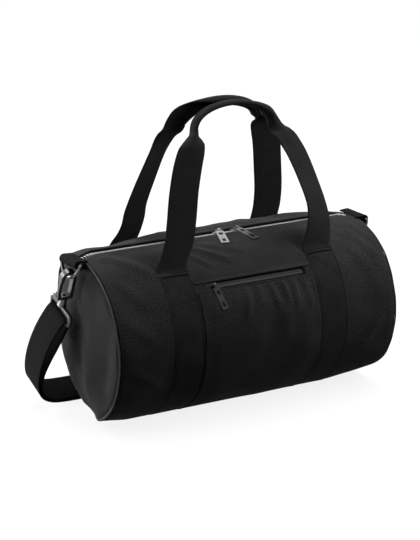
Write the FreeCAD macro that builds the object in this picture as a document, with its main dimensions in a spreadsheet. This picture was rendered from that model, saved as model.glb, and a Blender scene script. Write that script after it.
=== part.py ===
import FreeCAD, Part
import math
import os
import re

import Sketcher
from FreeCAD import Placement, Rotation, Vector

# A soft barrel bag: a fabric tube lying on its side with two sewn end discs, a long zip along
# the top, a zipped front pocket, two webbing handles and a clip-on shoulder strap.
# X runs along the barrel, the pocket faces -Y, and Z is up from the floor. Millimetres, degrees.

doc = FreeCAD.newDocument("barrel_bag")
sheet = doc.addObject("Spreadsheet::Sheet", "Dims")

DIMENSIONS = {
    # barrel
    "barrel_radius": 102,
    "barrel_height": 200,
    "barrel_length": 376,
    "shell_wall": 2.2,
    "end_wall": 2.5,
    "piping_size": 3.6,
    "piping_proud": 1.6,
    "binding_depth": 8,
    "binding_width": 3,
    # webbing sewn round the barrel, and the two handles
    "webbing_width": 40,
    "webbing_thickness": 1.8,
    "strip_offset": 100,
    "sew_angle": 38,
    "sew_room": 2,
    "handle_clearance": 0.5,
    "handle_bend": 12,
    "handle_lean": 12.7,
    "leg_height": 135,
    "leg_twist": 24,
    "pinch_height": 15,
    "pinch_half_span": 56,
    "grip_rise": 24,
    "grip_depth": 13,
    "grip_thickness": 5.4,
    "grip_half_gap": 2.5,
    "front_sway": 13,
    "rear_sway": 6,
    # zips
    "tape_thickness": 0.8,
    "tape_seat": 0.2,
    "zip_clearance": 0.3,
    "slider_plate": 1.5,
    "bridge_wire": 1.3,
    "eye_bore": 3,
    "eye_wall": 0.9,
    "eye_length": 3,
    "main_slot": 13,
    "main_tape_width": 13,
    "main_tooth_gap": 1.6,
    "main_tooth_reach": 2.4,
    "main_tooth_height": 2.4,
    "main_tooth_length": 1.9,
    "main_tooth_pitch": 3.4,
    "main_zip_gap": 0.5,
    "main_slider_length": 12,
    "main_slider_width": 11.2,
    "main_puller_width": 10,
    "main_puller_length": 36,
    "main_puller_thickness": 1.6,
    "main_puller_slope": 9.5,
    "left_slider_x": 0,
    "right_slider_x": 25,
    "left_puller_turn": -18,
    "right_puller_turn": 9,
    "pocket_slot": 10,
    "pocket_tape_width": 10,
    "pocket_tooth_gap": 1.4,
    "pocket_tooth_reach": 1.6,
    "pocket_tooth_height": 1.6,
    "pocket_tooth_length": 1,
    "pocket_tooth_pitch": 2,
    "pocket_zip_length": 132,
    "pocket_slider_length": 10,
    "pocket_slider_width": 8.6,
    "pocket_puller_width": 8.6,
    "pocket_puller_length": 31,
    "pocket_puller_thickness": 1.6,
    "pocket_puller_slope": 6,
    "pocket_puller_turn": 10,
    "pocket_slider_x": -55,
    # front pocket
    "pocket_angle": 51,
    "pocket_centre_x": 4,
    "pocket_half_width": 79.6,
    "pocket_cloth": 1,
    "hood_depth": 12,
    "zip_tab_length": 9.5,
    "pouch_width": 146,
    "pouch_bottom": 45,
    "pouch_gap": 2,
    "pouch_cloth": 0.8,
    # strap tabs and rings at the two ends
    "ring_reach": 11,
    "ring_drop": 6.5,
    "ring_wire": 4.2,
    "ring_half_width": 23,
    "ring_depth": 18,
    "ring_lean": 13,
    "tab_clearance": 0.5,
    # swivel hooks
    "strap_tilt": 24,
    "crook_inner": 5.5,
    "crook_outer": 10,
    "crook_room": 1.5,
    "hook_thickness": 7,
    "nose_drop": 6,
    "hook_length": 27,
    "hook_base": 4,
    "gate_width": 4,
    "gate_thickness": 4,
    "gate_pin": 1.6,
    "gate_pin_height": 2.8,
    "gate_heel": 1.9,
    "gate_clearance": 0.3,
    "neck_radius": 2,
    "head_radius": 3.3,
    "head_height": 2,
    "collar_radius": 4.4,
    "collar_height": 11,
    "rib_proud": 0.7,
    "loop_wire": 4.4,
    "loop_half_width": 25,
    "loop_height": 14,
    # shoulder strap
    "layer_gap": 0.6,
    "strap_joint_gap": 0.1,
    "bar_room": 1.3,
    "strap_floor_gap": 0.8,
    "strap_bulge": 22.25,
    "run_inset": 38,
    "run_gap": 10,
    "run_height": 4.4,
    "flat_start": 88,
    "flat_end": 68,
    "adjuster_bar": 2.2,
    "adjuster_length": 26,
    "adjuster_rail": 4,
    "adjuster_x": 58,
    "overrun": 5,
}

for row, (alias, value) in enumerate(DIMENSIONS.items(), start=1):
    sheet.set(f"A{row}", alias)
    sheet.set(f"B{row}", str(value))
    sheet.setAlias(f"B{row}", alias)
doc.recompute()


class Sizes:
    """Reads a driving dimension from the sheet by its alias."""

    def __getattr__(self, alias):
        return float(getattr(sheet, alias))


d = Sizes()
subparts = []


def expr(text):
    """Turn bare aliases in a formula into references to the sheet."""
    return re.sub(r"[a-z]\w*", lambda m: f"Dims.{m[0]}" if m[0] in DIMENSIONS else m[0], text)


def keep(item, label):
    item.Label = label
    subparts.append(item)
    return item


def solid_feature(label, shape, placement=None):
    item = doc.addObject("Part::Feature", label)
    item.Shape = shape
    if placement:
        item.Placement = placement
    return keep(item, label)


def boolean(kind, name, *shapes):
    item = doc.addObject(f"Part::{kind}", name)
    if kind == "Cut":
        item.Base, item.Tool = shapes
    else:
        item.Shapes = list(shapes)
    return item


def box(name, x, y, z):
    """A box between two formulas on each axis."""
    item = doc.addObject("Part::Box", name)
    for side, axis, (low, high) in zip(("Length", "Width", "Height"), "xyz", (x, y, z)):
        item.setExpression(side, expr(f"({high}) - ({low})"))
        item.setExpression(f"Placement.Base.{axis}", expr(low))
    return item


ALONG = {
    "x": Rotation(Vector(0, 1, 0), 90),
    "y": Rotation(Vector(1, 0, 0), -90),
    "z": Rotation(),
}


def rod(name, axis, radius, low, high, centre):
    """A round bar along one axis, from low to high, through the two other coordinates given."""
    item = doc.addObject("Part::Cylinder", name)
    item.Placement = Placement(Vector(), ALONG[axis])
    item.setExpression("Radius", expr(radius))
    item.setExpression("Height", expr(f"({high}) - ({low})"))
    item.setExpression(f"Placement.Base.{axis}", expr(low))
    for other, formula in zip([c for c in "xyz" if c != axis], centre):
        item.setExpression(f"Placement.Base.{other}", expr(formula))
    return item


def mirrored(label, source):
    """The right-hand twin of a left-hand piece."""
    item = doc.addObject("Part::Mirroring", label)
    item.Source = source
    item.Normal = Vector(1, 0, 0)
    return keep(item, label)


AXIS_HEIGHT = "barrel_height - barrel_radius"
END_X = "barrel_length / 2"


def barrel(name, offset, low, high):
    """The barrel's outline grown by an offset: a cylinder with a flat where it stands."""
    reach = f"barrel_radius + ({offset}) + overrun"
    whole = rod(f"{name}_round", "x", f"barrel_radius + ({offset})", low, high, ("0", AXIS_HEIGHT))
    above = box(
        f"{name}_above",
        (f"({low}) - overrun", f"({high}) + overrun"),
        (f"-({reach})", reach),
        (f"webbing_thickness - ({offset})", "barrel_height + barrel_radius"),
    )
    return boolean("MultiCommon", name, whole, above)


def layer(name, inner, outer, low, high):
    """A sheet of even thickness that follows the barrel between two offsets."""
    skin = barrel(f"{name}_skin", outer, low, high)
    core = barrel(f"{name}_core", inner, f"({low}) - overrun", f"({high}) + overrun")
    return boolean("Cut", name, skin, core)


def on_barrel(item, angle="0"):
    """Place a piece that was drawn about the barrel's axis, turned towards the front."""
    item.Placement = Placement(Vector(), Rotation(Vector(1, 0, 0), 1))
    item.setExpression("Placement.Base.z", expr(AXIS_HEIGHT))
    item.setExpression("Placement.Rotation.Angle", expr(angle))
    return item


POCKET_X = (
    "pocket_centre_x - pocket_zip_length / 2",
    "pocket_centre_x + pocket_zip_length / 2",
)


def main_panel():
    """The fabric tube, slit along the top for the zip and cut through for the pocket's zip."""
    tube = layer("tube", "-shell_wall", "0", f"-{END_X}", END_X)
    slit = box(
        "top_slit",
        (f"-{END_X} - overrun", f"{END_X} + overrun"),
        ("-main_slot / 2", "main_slot / 2"),
        (AXIS_HEIGHT, "barrel_height + overrun"),
    )
    window = boolean(
        "MultiFuse",
        "pocket_window",
        box(
            "window_box",
            POCKET_X,
            ("-pocket_slot / 2", "pocket_slot / 2"),
            ("0", "barrel_radius + overrun"),
        ),
        box("window_core", POCKET_X, ("-overrun / 2", "overrun / 2"), ("0", "barrel_radius")),
    )
    on_barrel(window, "pocket_angle")
    opened = boolean("Cut", "slit_tube", tube, slit)
    keep(boolean("Cut", "main_panel", opened, window), "main_panel")


def ends():
    """End discs, the piping in their seams and the binding that covers the seams inside."""
    rim = "piping_proud - piping_size"
    disc = barrel("left_end_panel", rim, f"-{END_X} - end_wall", f"-{END_X}")
    keep(disc, "left_end_panel")
    cord = layer("left_end_piping", rim, "piping_proud", f"-{END_X} - piping_size", f"-{END_X}")
    keep(cord, "left_end_piping")
    tape = layer(
        "left_binding_ring",
        "-shell_wall - binding_depth",
        "-shell_wall",
        f"-{END_X}",
        f"-{END_X} + binding_width",
    )
    # the binding is notched where the zip runs into the seam
    notch = box(
        "binding_notch",
        (f"-{END_X} - overrun", f"-{END_X} + binding_width + overrun"),
        ("-main_slot / 2 - main_tape_width", "main_slot / 2 + main_tape_width"),
        (AXIS_HEIGHT, "barrel_height + overrun"),
    )
    binding = keep(boolean("Cut", "left_seam_binding", tape, notch), "left_seam_binding")
    mirrored("right_end_panel", disc)
    mirrored("right_end_piping", cord)
    mirrored("right_seam_binding", binding)


SEW_HEIGHT = "barrel_height - barrel_radius + barrel_radius * cos(sew_angle)"


def body_webbing():
    """Webbing strips that run from the front handle under the barrel to the rear handle."""
    hoop = layer(
        "left_hoop",
        "0",
        "webbing_thickness",
        "-strip_offset - webbing_width / 2",
        "-strip_offset + webbing_width / 2",
    )
    top = box(
        "hoop_top",
        ("-strip_offset - webbing_width", "-strip_offset + webbing_width"),
        ("-barrel_radius - overrun", "barrel_radius + overrun"),
        (f"{SEW_HEIGHT} - sew_room", "barrel_height + overrun"),
    )
    strip = keep(boolean("Cut", "body_webbing_left", hoop, top), "body_webbing_left")
    mirrored("body_webbing_right", strip)


# Rows up a handle's leg: shares of the leg's height, of the way in to the grip, of the sway, of
# the twist and of the fold. The right leg twists, and it starts to fold before the pinch.
LEG_SHARES = {
    -1: (
        (0, 0, 0, 0, 0),
        (0.18, 0.07, 0.75, 0, 0),
        (0.36, 0.16, 1, 0, 0),
        (0.6, 0.33, 1, 0, 0),
        (0.8, 0.53, 0.95, 0, 0),
        (1, 0.8, 0.85, 0, 0),
    ),
    1: (
        (0, 0, 0, 0, 0),
        (0.18, 0.05, 0.75, 0.6, 0),
        (0.36, 0.13, 1, 1, 0),
        (0.6, 0.33, 1, 1, 0.03),
        (0.8, 0.53, 0.95, 0.9, 0.12),
        (1, 0.8, 0.85, 0.6, 0.3),
    ),
}
# The pinch folds the webbing together: shares of its height, of the way in and of the fold.
PINCH_SHARES = ((0.35, 0.88, 0.45), (0.7, 0.95, 0.8), (1, 1, 1))
# The grip keeps this share of the sway, and the pinch makes this share of the move towards the
# other handle.
GRIP_SWAY = 0.85
PINCH_MOVE = 0.55
BEND_STEPS = 6
GRIP_STEPS = 12


def folded_section(ridge, across, along, inward, fold):
    """One section of a handle, flat at fold 0 and folded together at 1, behind its ridge."""
    depth = d.webbing_thickness + (d.grip_depth - d.webbing_thickness) * fold
    width = d.webbing_width + (d.grip_thickness - d.webbing_width) * fold
    spot = ridge + inward * ((depth - d.webbing_thickness) / 2)
    return (spot, across, along, width, depth)


def handle_leg(side, sway):
    """Sections of one leg of the front handle, from its sewn end to the pinch.

    Each section is its centre, the direction of its width, and its width and thickness."""
    half = d.webbing_thickness / 2
    radius = d.barrel_radius + d.handle_clearance + half
    axis = Vector(0, 0, d.barrel_height - d.barrel_radius)
    foot_x = side * d.strip_offset
    across = Vector(1, 0, 0)
    sections = []
    # the bend lifts the webbing off the barrel at its sewn end until it stands, leaning inward
    start = math.radians(d.sew_angle)
    lean = math.radians(d.handle_lean)
    turn = math.pi / 2 - lean - start
    foot = axis + Vector(foot_x, -radius * math.sin(start), radius * math.cos(start))
    hub = foot + Vector(0, -math.sin(start), math.cos(start)) * d.handle_bend
    for step in range(BEND_STEPS + 1):
        angle = start + turn * step / BEND_STEPS
        spot = hub + Vector(0, math.sin(angle), -math.cos(angle)) * d.handle_bend
        along = Vector(0, math.cos(angle), math.sin(angle))
        sections.append((spot, across, along, d.webbing_width, d.webbing_thickness))
    base = sections.pop()[0]
    upright = Vector(0, math.sin(lean), math.cos(lean))
    back = Vector(0, math.cos(lean), -math.sin(lean))
    inside = d.strip_offset - d.pinch_half_span
    for height_share, inside_share, sway_share, twist_share, fold in LEG_SHARES[side]:
        spot = base + upright * (d.leg_height * height_share)
        spot.x = side * (d.strip_offset - inside * inside_share) + sway * sway_share
        twist = math.radians(d.leg_twist) * twist_share
        turned = across * math.cos(twist) + back * math.sin(twist)
        inward = back * math.cos(twist) - across * math.sin(twist)
        sections.append(folded_section(spot, turned, upright, inward, fold))
    shoulder = base + upright * d.leg_height
    for height_share, inside_share, fold in PINCH_SHARES:
        spot = shoulder + Vector(0, 0, d.pinch_height * height_share)
        spot.x = side * (d.strip_offset - inside * inside_share) + sway * GRIP_SWAY
        spot.y += (ridge_y() - shoulder.y) * PINCH_MOVE * height_share
        sections.append(folded_section(spot, across, Vector(0, 0, 1), Vector(0, 1, 0), fold))
    return sections


def ridge_y():
    """How far from the middle the outer ridge of the front grip lies, at the top of its arch."""
    return -d.grip_half_gap - d.grip_depth + d.webbing_thickness / 2


def handle_sections(sway):
    """Left leg, the grip's arch and the right leg."""
    left = handle_leg(-1, sway)
    right = handle_leg(1, sway)
    pinch = left[-1][0]
    middle_y = ridge_y() + (d.grip_depth - d.webbing_thickness) / 2
    grip = []
    for step in range(1, GRIP_STEPS):
        angle = math.pi * (step / GRIP_STEPS - 0.5)
        spot = Vector(
            sway * GRIP_SWAY + d.pinch_half_span * math.sin(angle),
            middle_y + (pinch.y - middle_y) * (1 - math.cos(angle)),
            pinch.z + d.grip_rise * math.cos(angle),
        )
        along = Vector(d.pinch_half_span * math.cos(angle), 0, -d.grip_rise * math.sin(angle))
        along.normalize()
        across = Vector(along.z, 0, -along.x)
        grip.append((spot, across, along, d.grip_thickness, d.grip_depth))
    back = []
    for spot, across, along, width, depth in reversed(right):
        back.append((spot, across * -1, along * -1, width, depth))
    return left + grip + back


def section_wire(spot, across, along, width, depth):
    """A rectangle across the handle: its width lies along across, its depth faces the front."""
    out = along.cross(across).normalize() * (depth / 2)
    side = Vector(across).normalize() * (width / 2)
    corners = [spot - side - out, spot + side - out, spot + side + out, spot - side + out]
    return Part.makePolygon(corners + corners[:1])


def handles():
    """Two handles of one webbing each: flat legs pinched together into a doubled grip."""
    for label, sway, facing in (("front_handle", d.front_sway, 0), ("rear_handle", -d.rear_sway, 180)):
        wires = [section_wire(*section) for section in handle_sections(sway)]
        loft = Part.makeLoft(wires, True, True)
        turned = Placement(Vector(), Rotation(Vector(0, 0, 1), facing))
        solid_feature(label, loft, turned)


ZIP_LEVEL = "barrel_radius - shell_wall - tape_seat - tape_thickness / 2"


def zip_level():
    return d.barrel_radius - d.shell_wall - d.tape_seat - d.tape_thickness / 2


ZIP_LENGTHS = {"main": "(barrel_length - 2 * main_zip_gap)", "pocket": "pocket_zip_length"}


def zip_rows(kind, angle, centre_x):
    """Both tapes of a zip, with the teeth gripping their edges."""
    length = ZIP_LENGTHS[kind]
    span = (f"{centre_x} - {length} / 2", f"{centre_x} + {length} / 2")
    edge = f"{kind}_tooth_gap / 2 + {kind}_tooth_reach"
    names = {"main": ("front", "rear"), "pocket": ("lower", "upper")}[kind]
    for side, name in zip((-1, 1), names):
        label = f"{kind}_zip_tape_{name}"
        skin = rod(f"{label}_skin", "x", f"{ZIP_LEVEL} + tape_thickness / 2", *span, ("0", "0"))
        core_span = (f"{span[0]} - overrun", f"{span[1]} + overrun")
        core = rod(f"{label}_core", "x", f"{ZIP_LEVEL} - tape_thickness / 2", *core_span, ("0", "0"))
        reach = (edge, f"{edge} + {kind}_tape_width")
        if side < 0:
            reach = (f"-({reach[1]})", f"-({edge})")
        strip = box(f"{label}_strip", core_span, reach, ("0", "barrel_radius"))
        tape = boolean("MultiCommon", label, boolean("Cut", f"{label}_sheet", skin, core), strip)
        keep(on_barrel(tape, angle), label)
        zip_teeth(kind, name, side)


def zip_teeth(kind, name, side):
    """One row of teeth as a group of small blocks, half a pitch out of step with the other row."""
    size = {key: getattr(d, f"{kind}_tooth_{key}") for key in ("gap", "reach", "height", "length", "pitch")}
    length = d.pocket_zip_length if kind == "pocket" else d.barrel_length - 2 * d.main_zip_gap
    count = int((length - size["pitch"]) / size["pitch"])
    centre = d.pocket_centre_x if kind == "pocket" else 0
    first = centre - size["pitch"] * count / 2 + (size["pitch"] / 4) * side
    y = size["gap"] / 2 if side > 0 else -size["gap"] / 2 - size["reach"]
    z = zip_level() - size["height"] / 2
    teeth = []
    for index in range(count):
        corner = Vector(first + index * size["pitch"], y, z)
        teeth.append(Part.makeBox(size["length"], size["reach"], size["height"], corner))
    angle = d.pocket_angle if kind == "pocket" else 0
    turned = Placement(Vector(0, 0, d.barrel_height - d.barrel_radius), Rotation(Vector(1, 0, 0), angle))
    solid_feature(f"{kind}_zip_teeth_{name}", Part.makeCompound(teeth), turned)


def slider_top(kind):
    return f"{ZIP_LEVEL} + {kind}_tooth_height / 2 + zip_clearance + slider_plate"


BRIDGE_LIFT = "eye_bore / 2 + eye_wall + zip_clearance"


def zip_slider(label, kind, at_x, angle):
    """A slider: two plates joined by the wedge between the rows, with a wire bridge on top."""
    half = f"{kind}_slider_length / 2"
    span = (f"{at_x} - {half}", f"{at_x} + {half}")
    through = (f"{span[0]} - overrun", f"{span[1]} + overrun")
    room = f"{kind}_tooth_height / 2 + zip_clearance"
    top = slider_top(kind)
    wide = f"{kind}_slider_width / 2"
    block = box(f"{label}_block", span, (f"-{wide}", wide), (f"{ZIP_LEVEL} - ({room}) - slider_plate", top))
    inner = f"{kind}_tooth_gap / 2 - zip_clearance"
    outer = f"{kind}_tooth_gap / 2 + {kind}_tooth_reach + zip_clearance"
    tape_room = "tape_thickness / 2 + zip_clearance + zip_clearance"
    cuts = []
    for name, low, high in (("front", f"-({outer})", f"-({inner})"), ("rear", inner, outer)):
        height = (f"{ZIP_LEVEL} - ({room})", f"{ZIP_LEVEL} + {room}")
        cuts.append(box(f"{label}_{name}_channel", through, (low, high), height))
        slot = (f"{ZIP_LEVEL} - ({tape_room})", f"{ZIP_LEVEL} + {tape_room}")
        edge = (f"-({wide}) - overrun", low) if name == "front" else (high, f"{wide} + overrun")
        cuts.append(box(f"{label}_{name}_tape_slot", through, edge, slot))
    body = boolean("Cut", f"{label}_body", block, boolean("MultiFuse", f"{label}_channels", *cuts))
    wire = "bridge_wire / 2"
    height = f"{top} + {BRIDGE_LIFT}"
    bar_span = (f"{span[0]} + bridge_wire", f"{span[1]} - bridge_wire")
    bar = rod(f"{label}_bar", "x", wire, *bar_span, ("0", height))
    legs = []
    for name, start in (("left", f"{span[0]} + bridge_wire"), ("right", f"{span[1]} - 2 * bridge_wire")):
        leg = box(f"{label}_{name}_leg", (start, f"{start} + bridge_wire"), (f"-{wire}", wire), (top, height))
        legs.append(leg)
    whole = boolean("MultiFuse", label, body, bar, *legs)
    keep(on_barrel(whole, angle), label)


def plane_sketch(body, name, role, shift=("0", "0", "0")):
    """A sketch on one of a body's own origin planes, moved in that plane's own directions."""
    sketch = body.newObject("Sketcher::SketchObject", name)
    plane = [feature for feature in body.Origin.OriginFeatures if feature.Role == role][0]
    sketch.AttachmentSupport = [(plane, "")]
    sketch.MapMode = "FlatFace"
    for axis, formula in zip("xyz", shift):
        sketch.setExpression(f"AttachmentOffset.Base.{axis}", expr(formula))
    return sketch


def rectangle(sketch, width, height):
    """A rectangle centred on the sketch's origin, its two sides bound to formulas."""
    corners = [Vector(-1, -1, 0), Vector(1, -1, 0), Vector(1, 1, 0), Vector(-1, 1, 0)]
    for index in range(4):
        sketch.addGeometry(Part.LineSegment(corners[index], corners[(index + 1) % 4]))
    for index in range(4):
        sketch.addConstraint(Sketcher.Constraint("Coincident", index, 2, (index + 1) % 4, 1))
    for index, direction in enumerate(("Horizontal", "Vertical", "Horizontal", "Vertical")):
        sketch.addConstraint(Sketcher.Constraint(direction, index))
    sketch.addConstraint(Sketcher.Constraint("Symmetric", 0, 1, 2, 1, -1, 1))
    for name, line, formula in (("DistanceX", 0, width), ("DistanceY", 1, height)):
        number = sketch.addConstraint(Sketcher.Constraint(name, line, 1, line, 2, 2))
        sketch.setExpression(f"Constraints[{number}]", expr(formula))


def circle(sketch, radius):
    """A circle on the sketch's origin."""
    sketch.addGeometry(Part.Circle(Vector(), Vector(0, 0, 1), 1))
    sketch.addConstraint(Sketcher.Constraint("Coincident", 0, 3, -1, 1))
    number = sketch.addConstraint(Sketcher.Constraint("Radius", 0, 1))
    sketch.setExpression(f"Constraints[{number}]", expr(radius))


def pad(body, name, sketch, length):
    item = body.newObject("PartDesign::Pad", name)
    item.Profile = sketch
    item.Midplane = True
    item.setExpression("Length", expr(length))
    return item


def pocket(body, name, sketch):
    item = body.newObject("PartDesign::Pocket", name)
    item.Profile = sketch
    item.Type = "ThroughAll"
    item.Midplane = True
    return item


# Where the ring hole and the tip slot sit along a puller, and their sizes, as shares of it.
PULLER_HOLE_SHARES = (("ring_hole", 0.24, 0.5, 0.18), ("tip_slot", 0.78, 0.42, 0.22))


def zip_puller(label, kind, at_x, turn, angle):
    """A flat puller with an eye round the slider's bridge, lying on the fabric."""
    body = doc.addObject("PartDesign::Body", label)
    start = "eye_bore / 2 + 2 * eye_wall"
    neck_start = "eye_bore / 2 + eye_wall / 2"
    neck_length = f"({start} - ({neck_start}) + eye_wall)"
    plate_length = f"({kind}_puller_length - ({start}))"
    neck_middle = ("0", f"-({neck_start}) - {neck_length} / 2", "0")
    neck = plane_sketch(body, f"{label}_neck_outline", "XY_Plane", neck_middle)
    rectangle(neck, "eye_length", neck_length)
    pad(body, f"{label}_neck", neck, f"{kind}_puller_thickness")
    plate = plane_sketch(body, f"{label}_outline", "XY_Plane", ("0", f"-({start}) - {plate_length} / 2", "0"))
    rectangle(plate, f"{kind}_puller_width", plate_length)
    pad(body, f"{label}_plate", plate, f"{kind}_puller_thickness")
    ring = plane_sketch(body, f"{label}_eye_outline", "YZ_Plane")
    circle(ring, "eye_bore / 2 + eye_wall")
    pad(body, f"{label}_eye", ring, "eye_length")
    bore = plane_sketch(body, f"{label}_bore_outline", "YZ_Plane")
    circle(bore, "eye_bore / 2")
    pocket(body, f"{label}_bore", bore)
    for name, along_share, width_share, length_share in PULLER_HOLE_SHARES:
        place = ("0", f"-({start}) - {plate_length} * {along_share}", "0")
        hole = plane_sketch(body, f"{label}_{name}_outline", "XY_Plane", place)
        rectangle(hole, f"{kind}_puller_width * {width_share}", f"{plate_length} * {length_share}")
        pocket(body, f"{label}_{name}", hole)
    tooth = getattr(d, f"{kind}_tooth_height")
    lift = d.eye_bore / 2 + d.eye_wall + d.zip_clearance
    level = zip_level() + tooth / 2 + d.zip_clearance + d.slider_plate + lift
    lean = Rotation(Vector(1, 0, 0), angle)
    yaw = Rotation(Vector(0, 0, 1), turn)
    slope = Rotation(Vector(1, 0, 0), getattr(d, f"{kind}_puller_slope"))
    spot = Vector(at_x, 0, d.barrel_height - d.barrel_radius) + lean.multVec(Vector(0, 0, level))
    body.Placement = Placement(spot, lean * yaw * slope)
    keep(body, label)


def zips():
    zip_rows("main", "0", "0")
    zip_slider("main_zip_slider_left", "main", "left_slider_x", "0")
    zip_slider("main_zip_slider_right", "main", "right_slider_x", "0")
    zip_puller("main_zip_puller_left", "main", d.left_slider_x, d.left_puller_turn, 0)
    zip_puller("main_zip_puller_right", "main", d.right_slider_x, d.right_puller_turn, 0)
    zip_rows("pocket", "pocket_angle", "pocket_centre_x")
    zip_slider("pocket_zip_slider", "pocket", "pocket_slider_x", "pocket_angle")
    zip_puller("pocket_zip_puller", "pocket", d.pocket_slider_x, d.pocket_puller_turn, d.pocket_angle)


def front_pocket():
    """The outer pocket cloth, the hood above its zip, the tabs at the zip's ends and the pouch."""
    width = ("-pocket_half_width", "pocket_half_width")
    front = ("-barrel_radius - overrun - overrun", "-overrun")
    cloth = layer("pocket_cloth_ring", "0", "pocket_cloth", *width)
    lower_edge = "pocket_angle + 180 / pi * pocket_slot / 2 / barrel_radius"
    upper_edge = "pocket_angle - 180 / pi * pocket_slot / 2 / barrel_radius"
    edge_height = f"barrel_height - barrel_radius + barrel_radius * cos({lower_edge})"
    face = box("pocket_face", width, front, ("0", edge_height))
    keep(boolean("MultiCommon", "pocket_panel", cloth, face), "pocket_panel")
    hood_ring = layer("pocket_hood_ring", "tape_seat / 2", "pocket_cloth + pocket_cloth / 2", *width)
    hood_low = f"barrel_height - barrel_radius + barrel_radius * cos({upper_edge})"
    hood_span = box("hood_span", width, front, (hood_low, f"{hood_low} + hood_depth"))
    keep(boolean("MultiCommon", "pocket_hood", hood_ring, hood_span), "pocket_hood")
    for label, low in (
        ("pocket_zip_end_tab_left", f"{POCKET_X[0]} - zip_tab_length"),
        ("pocket_zip_end_tab_right", POCKET_X[1]),
    ):
        ring = layer(f"{label}_ring", "tape_seat / 2", "pocket_cloth", low, f"{low} + zip_tab_length")
        span = box(f"{label}_span", (low, f"{low} + zip_tab_length"), front, (edge_height, hood_low))
        keep(boolean("MultiCommon", label, ring, span), label)
    pouch()


def pouch():
    """The flat lining bag behind the pocket's zip, open along the zip."""
    middle = "pocket_centre_x"
    under_tape = "-shell_wall - tape_thickness - 2 * tape_seat"
    outside = ("pouch_width / 2", under_tape)
    inside = ("pouch_width / 2 - pouch_cloth", f"{under_tape} - pouch_cloth")
    # the top of the pouch is a little above the zip
    top = "barrel_height - barrel_radius + barrel_radius * cos(pocket_angle - pocket_slot)"
    depth = "pouch_gap + pouch_cloth + pouch_cloth"
    shells = []
    for name, (half, outer), inset in (("outer", outside, "0"), ("inner", inside, "pouch_cloth")):
        span = (f"{middle} - ({half})", f"{middle} + {half}")
        inner = f"{outer} - ({depth}) + 2 * ({inset})"
        ring = layer(f"pouch_{name}_ring", inner, outer, *span)
        limit = box(
            f"pouch_{name}_limit",
            span,
            ("-barrel_radius - overrun", "-overrun"),
            (f"pouch_bottom + {inset}", f"{top} - ({inset})"),
        )
        shells.append(boolean("MultiCommon", f"pouch_{name}", ring, limit))
    hollow = boolean("Cut", "pouch_hollow", *shells)
    mouth_depth = "barrel_radius - shell_wall - tape_thickness - pouch_cloth - pouch_gap / 2"
    mouth_span = (mouth_depth, "barrel_radius")
    mouth_box = box("mouth_box", POCKET_X, ("-pocket_slot / 2", "pocket_slot / 2"), mouth_span)
    mouth_core = box("mouth_core", POCKET_X, ("-overrun / 2", "overrun / 2"), mouth_span)
    mouth = on_barrel(boolean("MultiFuse", "pouch_mouth", mouth_box, mouth_core), "pocket_angle")
    keep(boolean("Cut", "pocket_lining", hollow, mouth), "pocket_lining")


RING_X = "barrel_length / 2 + ring_reach + tab_clearance"
RING_Z = "barrel_height - ring_drop"


def strap_tabs():
    """Webbing loops sewn into the end seams, each folded round the bar of a ring."""
    bore = "ring_wire / 2 + tab_clearance"
    roll = f"{bore} + webbing_thickness"
    side = ("-webbing_width / 2", "webbing_width / 2")
    end = "-barrel_length / 2 - piping_size - tab_clearance / 2"
    solids = []
    for name, radius, stop, sides in (
        ("roll", roll, end, side),
        ("bore", bore, f"{end} + overrun", (f"{side[0]} - overrun", f"{side[1]} + overrun")),
    ):
        bar = rod(f"tab_{name}", "y", radius, *sides, (f"-({RING_X})", RING_Z))
        levels = (f"{RING_Z} - ({radius})", f"{RING_Z} + {radius}")
        arms = box(f"tab_{name}_arms", (f"-({RING_X})", stop), sides, levels)
        solids.append(boolean("MultiFuse", f"tab_{name}_whole", bar, arms))
    tab = keep(boolean("Cut", "left_strap_tab", *solids), "left_strap_tab")
    mirrored("right_strap_tab", tab)


def ring_centre():
    return Vector(
        -(d.barrel_length / 2 + d.ring_reach + d.tab_clearance), 0, d.barrel_height - d.ring_drop
    )


def ring_arc():
    """Radius of the ring's bow, and its centre above the bar."""
    radius = (d.ring_half_width**2 + d.ring_depth**2) / (2 * d.ring_depth)
    return radius, radius - d.ring_depth


def d_rings():
    """A wire ring with a straight bar in the tab and a round bow that the hook hangs on."""
    radius, above = ring_arc()
    half_angle = math.degrees(math.asin(d.ring_half_width / radius))
    bar = rod("ring_bar", "y", "ring_wire / 2", "-ring_half_width", "ring_half_width", ("0", "0"))
    bow = doc.addObject("Part::Torus", "ring_bow")
    bow.setExpression("Radius2", expr("ring_wire / 2"))
    arc = "(ring_half_width * ring_half_width + ring_depth * ring_depth) / (2 * ring_depth)"
    bow.setExpression("Radius1", expr(arc))
    bow.Angle3 = 2 * half_angle
    first = Rotation(Vector(1, 0, 0), -half_angle).multVec(Vector(0, 0, -1))
    axis = Vector(1, 0, 0)
    bow.Placement = Placement(Vector(0, 0, above), Rotation(first, axis.cross(first), axis, "XYZ"))
    corners = []
    for name, sign in (("front", "-"), ("rear", "")):
        ball = doc.addObject("Part::Sphere", f"ring_{name}_corner")
        ball.setExpression("Radius", expr("ring_wire / 2"))
        ball.setExpression("Placement.Base.y", expr(f"{sign}ring_half_width"))
        corners.append(ball)
    ring = boolean("MultiFuse", "left_d_ring", bar, bow, *corners)
    ring.Placement = Placement(ring_centre(), Rotation(Vector(0, 1, 0), d.ring_lean))
    keep(ring, "left_d_ring")
    mirrored("right_d_ring", ring)


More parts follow.
